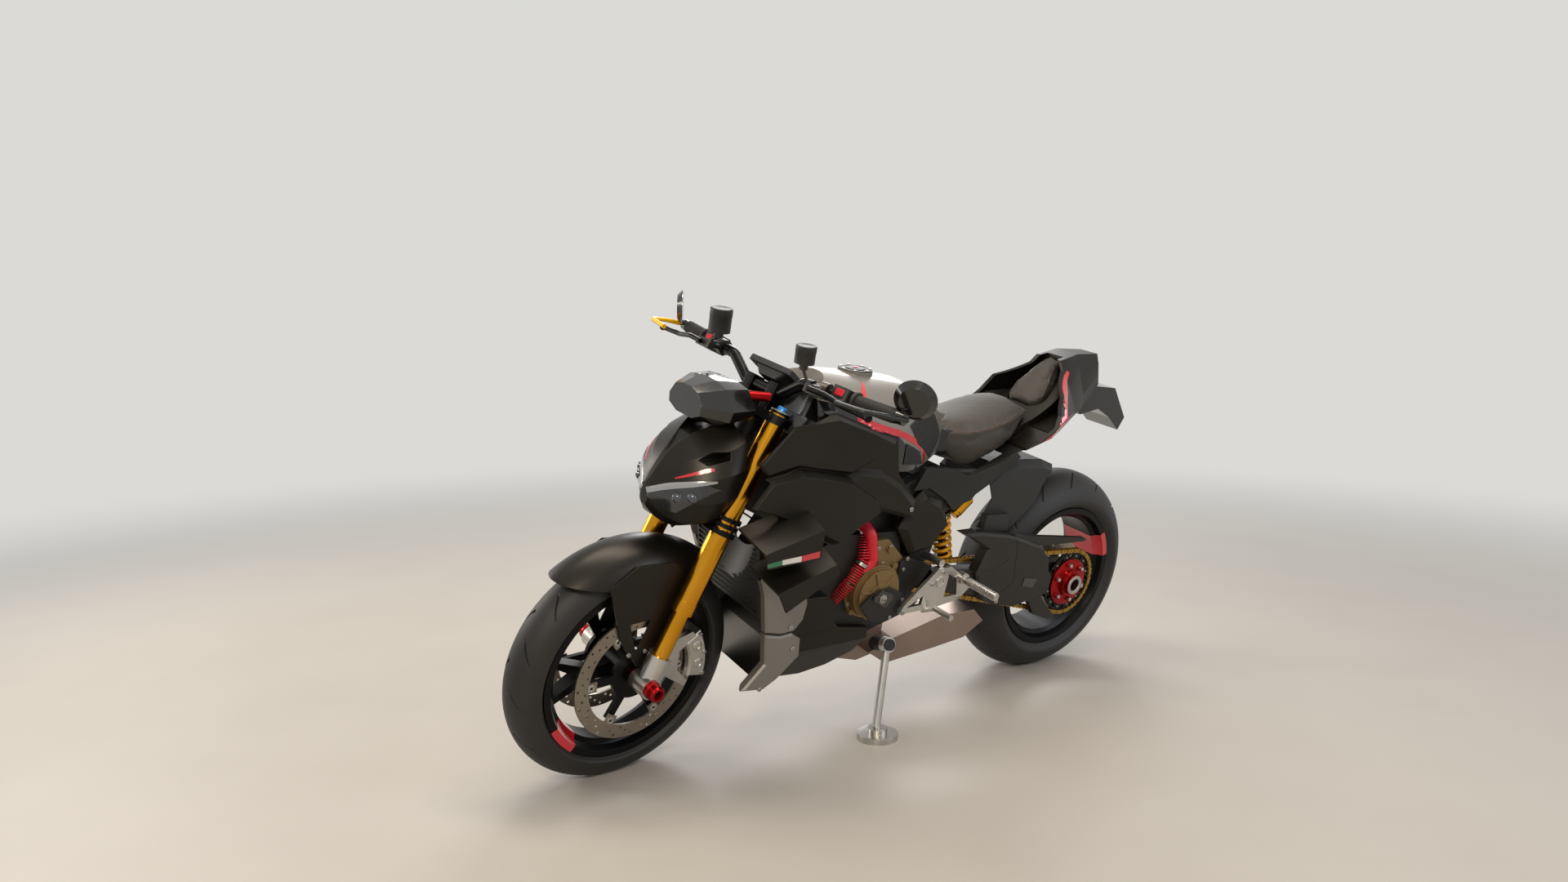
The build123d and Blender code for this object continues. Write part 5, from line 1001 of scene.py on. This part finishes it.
# Red stripes
# Lacquered bands on the nose, the tank and the edges of the tail, a coat's thickness over the panel.
COWL_STRIPE = [(1434, 62, 796, 1.5), (1420, 80, 806, 3.0), (1400, 98, 817, 4.0), (1382, 110, 825, 5.0),
               (1368, 119, 829, 3.0)]
TANK_STRIPE = [(966, 150, 934, 9), (948, 152, 920, 13), (915, 157, 905, 11), (868, 157, 893, 9),
    (822, 156, 880, 8), (771, 152, 857, 8), (735, 144, 836, 7), (713, 134, 810, 6), (706, 129, 786, 4)]
TANK_TONGUE = [(958, 146, 944, 9), (943, 128, 968, 8), (929, 110, 987, 6), (909, 79, 999, 3)]
TAIL_STRIPE = [(126, 60, 1003, 4), (156, 84, 980, 8), (186, 132, 952, 11), (208, 178, 921, 13),
    (218, 187, 896, 13), (246, 174, 860, 11), (286, 160, 824, 5)]
body_skin = skin("fuel_tank", "tank_side_panels", "side_fairings")
cowl_skin = skin("headlight_cowl", "headlamps")
tail_skin = skin("tail_cowl")
# Rows: name, band, surface, frame, direction, body, furthest fall
STRIPES = [
    ("cowl_stripe", COWL_STRIPE, cowl_skin, steered, (-0.75, -0.6, -0.3), "steering", 60),
    ("tank_stripe", TANK_STRIPE, body_skin, machine, (0, -1, -0.25), "frame", 40),
    ("tank_tongue", TANK_TONGUE, body_skin, machine, (-0.2, -0.7, -0.7), "frame", 40),
    ("tail_stripe", TAIL_STRIPE, tail_skin, machine, (0.35, -0.93, -0.1), "frame", 25),
]
for stripe, rows, surface, place, toward, body, leap in STRIPES:
    for side, name in SIDES:
        heading = (toward[0], side * toward[1], toward[2])
        laid("%s_%s" % (stripe, name), strip(sided(rows, side), heading), surface, place, heading, 0.9,
            body, red_lacquer, leap)

# Winglets
# Two moulded blades a side with an end plate. The upper end plate carries green, white and red bands
# along its lip.
wing_skin = skin("winglets")
green_lacquer = finish("Green lacquer", "#0d5a36", "#127044", roughness=0.25, grain=2.0,
    relief=0.005, coat=0.6)
white_lacquer = finish("White lacquer", "#c9c8c4", "#d6d5d1", roughness=0.25, grain=2.0,
    relief=0.005, coat=0.6)
WING_BANDS = [
    ("green", [(1284, 300, 636, 5), (1262, 300, 638, 6), (1243, 300, 640, 6)], green_lacquer),
    ("white", [(1243, 300, 640, 6), (1216, 300, 641, 6.5), (1190, 300, 642, 7)], white_lacquer),
    ("red", [(1190, 300, 642, 7), (1165, 300, 644, 7.5), (1138, 300, 646, 8)], red_lacquer),
]
for side, name in SIDES:
    for colour, rows, lacquer in WING_BANDS:
        laid("wing_band_%s_%s" % (colour, name), strip(sided(rows, side), (0, -side, 0)), wing_skin,
            machine, (0, -side, 0), 0.4, "frame", lacquer)

# Headlamps
# Two clear polycarbonate lenses in the cowl: a bright blade of daytime light over a dark reflector box
# with two projector lenses.
lamp_lens = finish("Clear polycarbonate over a dark reflector", "#17181a", "#26282b", metallic=0.2,
    roughness=0.06, grain=8.0, relief=0.005, edge=1.0, coat=1.0)
dress(lamp_lens, "headlamps")
light_blade = finish("Frosted polycarbonate light blade", "#8f9296", "#a9acb0", metallic=0.3,
    roughness=0.18, grain=3.0, relief=0.01, coat=0.8)
projector_glass = finish("Polished acrylic projector lens", "#3a3f46", "#565d66", metallic=0.6,
    roughness=0.05, grain=6.0, relief=0.002, coat=1.0)
LIGHT_BLADE = [(1471, 8, 753, 6), (1444, 58, 777, 7), (1408, 103, 794, 6), (1382, 124, 801, 4),
    (1366, 134, 804, 2)]
PROJECTORS = [(1436, 80, 754), (1414, 108, 762)]
for side, name in SIDES:
    toward = (-0.8, -0.6 * side, 0)
    laid("light_blade_" + name, strip(sided(LIGHT_BLADE, side), toward), cowl_skin, steered, toward, 1.2,
        "steering", light_blade)
    seats = seats_on(cowl_skin, sided(PROJECTORS, side), toward, steered)
    repeated("projectors_" + name, lathed([(0, -2), (13, -2), (13, 1), (11, 1.4), (10, 3), (6, 5.4),
        (0, 6.2)], 24), seats, steered, "steering", projector_glass)
red_lens = finish("Red acrylic tail lens", "#5e0508", "#7c0a0e", roughness=0.1, grain=6.0,
    relief=0.01, edge=1.0, coat=1.0)
dress(red_lens, "tail_lamp")

# Tank cap and knee pads
# The cap is a grained black ring with a red lock in the middle and plated screws round it. The knee pads
# are moulded rubber with rows of low studs, glued over the tank's sides.
CAP_CENTRE = (874, 0, 1014)
as_piece("tank_cap", lathed([(0, 0.2), (45.5, 0.2), (45.5, 1.5), (43.5, 3), (34, 3), (31, 1.6), (26, 1.6),
    (24, 4), (12, 5), (0, 5)], 48), machine @ Matrix.Translation(CAP_CENTRE), "frame", black_moulding)
CAP_SCREWS = 7
CAP_SCREW_CIRCLE = 39.5
CAP_RING_UP = 2.6
cap_screws = [((CAP_CENTRE[0] + x, y, CAP_CENTRE[2] + CAP_RING_UP), (0, 0, 1), (1, 0, 0))
    for x, y in around(CAP_SCREWS, CAP_SCREW_CIRCLE)]
add_screws("cap_screws", cap_screws, radius=3.6, height=2.4, socket=1.9)
as_piece("cap_lock", lathed([(0, 5), (7, 5), (7, 6), (6, 6.6), (0, 6.6)], 20),
    machine @ Matrix.Translation(CAP_CENTRE), "frame", red_anodised)
pad_rubber = finish("Moulded black rubber pad", "#131313", "#1d1c1b", roughness=0.6,
    grain=1.2, relief=0.08)
KNEE_PAD = [(793, 160, 900), (732, 140, 936), (690, 120, 918), (654, 108, 880), (628, 84, 846),
    (668, 107, 792), (712, 130, 822), (754, 148, 847)]
LOW_PAD = [(804, 160, 856), (742, 146, 826), (716, 136, 786), (808, 160, 800)]
STUD_PITCH = 9
PAD_MARGIN = 0.08
PAD_THICK = 2.2


def inside(point, corners):
    """Whether an (x, z) point is within a side-view outline."""
    crossings = 0
    for (x1, _, z1), (x2, _, z2) in zip(corners, corners[1:] + corners[:1]):
        if (z1 > point[1]) != (z2 > point[1]) and point[0] < (x2 - x1) * (point[1] - z1) / (z2 - z1) + x1:
            crossings += 1
    return crossings % 2 == 1


tank_skin = skin("fuel_tank", "tank_side_panels")
for side, name in SIDES:
    stud_seats = []
    for pad, corners in (("knee_pad", KNEE_PAD), ("low_pad", LOW_PAD)):
        rim = sided(corners, side)
        laid("%s_%s" % (pad, name), sheet(rim), tank_skin, machine, (0, -side, 0), PAD_THICK, "frame",
            pad_rubber)
        middle_x, middle_z = (sum(spot[axis] for spot in rim) / len(rim) for axis in (0, 2))
        shrunk = [(middle_x * PAD_MARGIN + x * (1 - PAD_MARGIN), y,
            middle_z * PAD_MARGIN + z * (1 - PAD_MARGIN)) for x, y, z in rim]
        for row in range(30):
            for column in range(30):
                x = 600 + column * STUD_PITCH + (row % 2) * STUD_PITCH / 2
                z = 770 + row * STUD_PITCH * HEXAGON
                if not inside((x, z), shrunk):
                    continue
                hit = landed(tank_skin, machine, (x, side * 150, z), (0, -side, 0))
                if hit is not None:
                    stud_seats.append((hit + Vector((0, side * PAD_THICK, 0)), (0, side, 0.1), (1, 0, 0)))
    repeated("pad_studs_" + name, lathed([(0, -1), (3.4, -1), (2.6, 1.2), (0, 1.5)], 6), stud_seats,
        machine, "frame", pad_rubber)

# Handlebar controls
# Moulded switch boxes with rocker buttons, soft rubber grips with ribs, round bar-end mirrors with
# silvered glass and an instrument screen behind black glass.
grip_rubber = finish("Soft ribbed grip rubber", "#161514", "#201f1e", roughness=0.7,
    grain=1.4, relief=0.1)
dress(grip_rubber, "grips")
BAR_KNEE = (24, 135, 800)
BAR_END = (-14, 400, 818)


def on_bar(distance, side=1):
    """A point on the straight outer run of the bar, this far from the centre plane, on the fork."""
    share = (distance - BAR_KNEE[1]) / (BAR_END[1] - BAR_KNEE[1])
    ahead, _, up = (low + share * (high - low) for low, high in zip(BAR_KNEE, BAR_END))
    return Vector((ahead, side * distance, up))


for side, name in SIDES:
    outward = (on_bar(400, side) - on_bar(200, side)).normalized()
    ribs = [(on_bar(298 + 6 * step, side), outward, (1, 0, 0)) for step in range(16)]
    repeated("grip_ribs_" + name, lathed([(15.5, -1.8), (17.6, -1.2), (17.6, 1.2), (15.5, 1.8),
        (15.5, -1.8)], 20), ribs, fork, "steering", grip_rubber)


def rounded_slab(width, depth, height, radius, soft):
    """A plate with rounded corners and softened edges, its back on the XY plane."""
    shape = bmesh.new()
    ring = []
    for x_side, y_side, first in ((1, 1, 0), (-1, 1, 90), (-1, -1, 180), (1, -1, 270)):
        for step in range(5):
            turn = math.radians(first + 90 * step / 4)
            ring.append(((width / 2 - radius) * x_side + radius * math.cos(turn),
                         (depth / 2 - radius) * y_side + radius * math.sin(turn)))
    rings = []
    for inset, level in ((0, 0), (0, height - soft), (soft, height)):
        shrink_x = 1 - 2 * inset / width
        shrink_y = 1 - 2 * inset / depth
        rings.append([shape.verts.new((x * shrink_x, y * shrink_y, level)) for x, y in ring])
    shape.faces.new(rings[0][::-1])
    shape.faces.new(rings[-1])
    for low, high in zip(rings, rings[1:]):
        bridge(shape, low, high)
    return shape


red_button = finish("Red moulded button", "#b80d1e", "#c81428", roughness=0.35, grain=2.0,
    relief=0.01)
# Rows: name, ahead, left, up, width, depth, finish
BUTTONS = [
    ("stop_button", 25, 250, 814, 16, 26, red_button),
    ("lamp_button", 25, 262, 796, 9, 16, black_gloss),
    ("horn_button", 25, 232, 796, 9, 14, black_gloss),
    ("start_button", 25, -250, 812, 14, 22, red_button),
    ("mode_button", 25, -240, 796, 9, 18, black_gloss),
]
for name, ahead, left, up, width, depth, coat_finish in BUTTONS:
    as_piece(name, rounded_slab(width, depth, height=4, radius=3, soft=1),
        fork @ axis_frame((ahead, left, up), (1, 0, 0.1), (0, 0, 1)), "steering", coat_finish)
mirror_glass = finish("Silvered mirror glass", "#9aa2a8", "#a8b0b6", metallic=1.0, roughness=0.04,
    grain=6.0, relief=0.001)
# Rows: name, centre, direction the housing's back faces
MIRRORS = [("left", (1088, 424, 1066), (0.80, 0.52, -0.25)),
    ("right", (1118, -430, 1072), (0.80, -0.62, -0.10))]
for name, centre, facing in MIRRORS:
    back = [-value for value in facing]
    as_piece("mirror_glass_" + name, lathed([(0, 6.8), (45, 6.8), (45, 7.6), (44, 8), (0, 8)], 48),
             steered @ axis_frame(centre, back), "steering", mirror_glass)
screen_glass = finish("Black bonded screen glass", "#050608", "#0a0c10", roughness=0.06,
    grain=6.0, relief=0.001, coat=0.6)
as_piece("dash_screen", rounded_slab(82, 142, height=1.6, radius=6, soft=0.5),
    steered @ axis_frame((1103.8, 0, 1011.7), (-0.6157, 0, 0.788), (0.788, 0, 0.6157)), "steering",
    screen_glass)

# Fluid reservoirs
# Black moulded pots with screw lids, one for the clutch and a larger one for the front brake.
# Rows: ahead, left, up, radius, height
RESERVOIRS = [(88, 168, 838, 23, 42), (50, -196, 832, 28, 62)]
for number, (ahead, left, up, radius, height) in enumerate(RESERVOIRS):
    outer = radius + 0.8
    rows = [(radius - 2, 0.4), (outer, 0.4), (outer, height * 0.62), (outer + 0.6, height * 0.64),
        (outer + 0.6, height - 1), (outer - 1, height + 0.6), (outer * 0.6, height + 0.6),
        (outer * 0.55, height + 0.3), (0, height + 0.3)]
    foot = steered.inverted() @ (fork @ Vector((ahead, left, up)))
    as_piece("reservoir_pot_%d" % number, lathed(rows, 32), steered @ Matrix.Translation(foot), "steering",
             black_moulding)

# Lever guards
# Bent aluminium bows, powder-coated yellow on the right bar end and black on the left.
guard_coat = blank_material("Powder coat, yellow on the right and black on the left")
guard_tree = guard_coat.node_tree
guard_place = add_node(guard_tree, "ShaderNodeTexCoord")
guard_left = add_node(guard_tree, "ShaderNodeVectorMath", {"operation": "DOT_PRODUCT", 1: bars_left}, {
    0: (guard_place, "Object")})
guard_side = add_node(guard_tree, "ShaderNodeMath",
    {"operation": "GREATER_THAN", 1: fork_foot.dot(bars_left)}, {0: (guard_left, "Value")})
guard_grain = add_node(guard_tree, "ShaderNodeTexNoise", {"Scale": 1000 / 1.2},
    {"Vector": (guard_place, "Object")})
guard_tone = add_node(guard_tree, "ShaderNodeMix", {
    "data_type": "RGBA", 6: linear("#f0b400"), 7: linear("#141414")}, {0: (guard_side, 0)})
guard_bump = add_node(guard_tree, "ShaderNodeBump", {"Strength": 0.3, "Distance": 0.03 * MM}, {
    "Height": (guard_grain, "Fac")})
guard_surface = add_node(guard_tree, "ShaderNodeBsdfPrincipled", {"Roughness": 0.38}, {
    "Base Color": (guard_tone, 2), "Normal": (guard_bump, "Normal")})
add_node(guard_tree, "ShaderNodeOutputMaterial", {}, {"Surface": (guard_surface, "BSDF")})
dress(guard_coat, "lever_guards")

# Foot controls
# Machined pegs with turned grooves that grip the boot, and bright cap screws in the plates and in the
# ends of the pegs.
peg_spots = [((573 - 13 * share, side * (214 + 116 * share), 470 - 8 * share), (-13, side * 116, -8),
    (0, 0, 1)) for side in (1, -1) for share in [0.2 + step * 0.075 for step in range(11)]]
repeated("peg_ribs", lathed([(10, -2.4), (12.6, -1.6), (12.6, 1.6), (10, 2.4), (10, -2.4)], 14),
    peg_spots, machine, "frame", bright_aluminium)
PLATE_SCREWS = [(652, 210, 500), (600, 210, 478), (560, 210, 452), (780, 210, 404), (686, 210, 470),
    (580, 210, 416)]
plate_skin = skin("rearsets")
plate_seats = both_sides(plate_skin, PLATE_SCREWS)
add_screws("plate_screws", plate_seats, radius=5.5, height=4.5, socket=3)

# Seat base
# A black moulding that carries the foam behind the tank.
SEAT_BASE = [(668, 846), (640, 800), (560, 790), (430, 806), (396, 832), (426, 856), (540, 850), (620, 862)]
seat_base = bar_plate(SEAT_BASE, -88, 88)
bmesh.ops.bevel(seat_base, geom=seat_base.edges, offset=5, segments=2, affect="EDGES")
as_piece("seat_base", seat_base, machine, "frame", black_moulding)

# Rider's seat and passenger pad
# Polyurethane foam on a plastic base under a coated fabric. Each cover starts from its pad's own form,
# pulled in a little, swells against a capped movement in a cloth simulation and is smoothed once.
SEAT_WEAVE = 1.6
PAD_PULL_IN = 0.004
PAD_SWELL_CAP = 0.006


def padded_cover(node_name, piece_name, material):
    """A stuffed cover that swells out of a CAD pad's form."""
    mesh = nodes[node_name].data.copy()
    shell = bmesh.new()
    shell.from_mesh(mesh)
    bmesh.ops.remove_doubles(shell, verts=shell.verts, dist=0.00005)
    shell.to_mesh(mesh)
    shell.free()
    pad = bpy.data.objects.new(piece_name, mesh)
    bpy.context.scene.collection.objects.link(pad)
    bpy.context.view_layer.objects.active = pad
    remesh = pad.modifiers.new("remesh", "REMESH")
    remesh.mode = "VOXEL"
    remesh.voxel_size = 0.0055
    smooth = pad.modifiers.new("smooth", "SMOOTH")
    smooth.factor = 0.5
    smooth.iterations = 6
    flat = bpy.data.meshes.new_from_object(pad.evaluated_get(bpy.context.evaluated_depsgraph_get()))
    pad.modifiers.clear()
    pad.data = flat
    for vertex in flat.vertices:
        vertex.co -= vertex.normal * PAD_PULL_IN
    start = [v.co.copy() for v in flat.vertices]
    cloth = pad.modifiers.new("cloth", "CLOTH")
    cloth.settings.use_pressure = True
    cloth.settings.uniform_pressure_force = 4
    cloth.settings.effector_weights.gravity = 0
    scene = bpy.context.scene
    for step in range(1, 21):
        scene.frame_set(step)
    swollen = bpy.data.meshes.new_from_object(pad.evaluated_get(bpy.context.evaluated_depsgraph_get()))
    pad.modifiers.clear()
    scene.frame_set(1)
    for vertex, first in zip(swollen.vertices, start):
        move = vertex.co - first
        if move.length > PAD_SWELL_CAP:
            vertex.co = first + move.normalized() * PAD_SWELL_CAP
    pad.data = swollen
    pad.data.polygons.foreach_set("use_smooth", [True] * len(pad.data.polygons))
    fine = pad.modifiers.new("fine", "SUBSURF")
    fine.levels = 1
    fine.render_levels = 1
    pad.data.materials.clear()
    pad.data.materials.append(material)
    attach(pad, "frame")
    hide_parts(node_name)
    return pad


seat_cover = finish("Coated seat fabric with a fine weave", "#2a2723", "#35312b",
    roughness=0.66, grain=SEAT_WEAVE, relief=0.15)
rider_cover = padded_cover("rider_seat", "rider_seat_cover", seat_cover)
padded_cover("passenger_pad", "passenger_pad_cover", seat_cover)
thread = finish("Bonded nylon thread", "#5a3f36", "#6b4b40", roughness=0.7, grain=0.8,
    relief=0.02)
# The seam round the seat's top, on the left side, and two rows of stitches beside it
SEAM = [(600, 86, 868), (550, 112, 866), (494, 124, 864), (430, 122, 872), (370, 112, 882), (318, 92, 892),
        (286, 62, 900), (276, 20, 906)]
STITCH_PITCH = 6
STITCH_OFFSET = 3.5
cover_mesh = rider_cover.data
cover_skin = BVHTree.FromPolygons([vertex.co.copy() for vertex in cover_mesh.vertices],
    [list(face.vertices) for face in cover_mesh.polygons])


def stitch_spots(points, offset):
    """Spots every stitch along a smooth line of points, moved aside, on the cover."""
    line = strip([(*point, abs(offset)) for point in points], (0, 0, -1), steps=16, lanes=1)
    line.verts.ensure_lookup_table()
    edge = [line.verts[index].co.copy() for index in range(0 if offset < 0 else 1, len(line.verts), 2)]
    line.free()
    spots = []
    wait = 0.0
    for start, end in zip(edge, edge[1:]):
        run = end - start
        while wait < run.length:
            near, normal, _, _ = cover_skin.find_nearest(machine @ (start + run.normalized() * wait))
            up = machine.to_3x3().inverted() @ normal
            spots.append((machine.inverted() @ near, up, run))
            wait += STITCH_PITCH
        wait -= run.length
    return spots


stitch = lathed([(0, -2.3), (0.55, -1.9), (0.75, 0), (0.55, 1.9), (0, 2.3)], 6)
bmesh.ops.rotate(stitch, verts=stitch.verts, matrix=Matrix.Rotation(math.pi / 2, 3, "Y"))
stitches = []
for side in (1, -1):
    for offset in (STITCH_OFFSET, -STITCH_OFFSET):
        stitches += stitch_spots(sided(SEAM, side), offset)
repeated("seat_stitches", stitch, stitches, machine, "frame", thread)
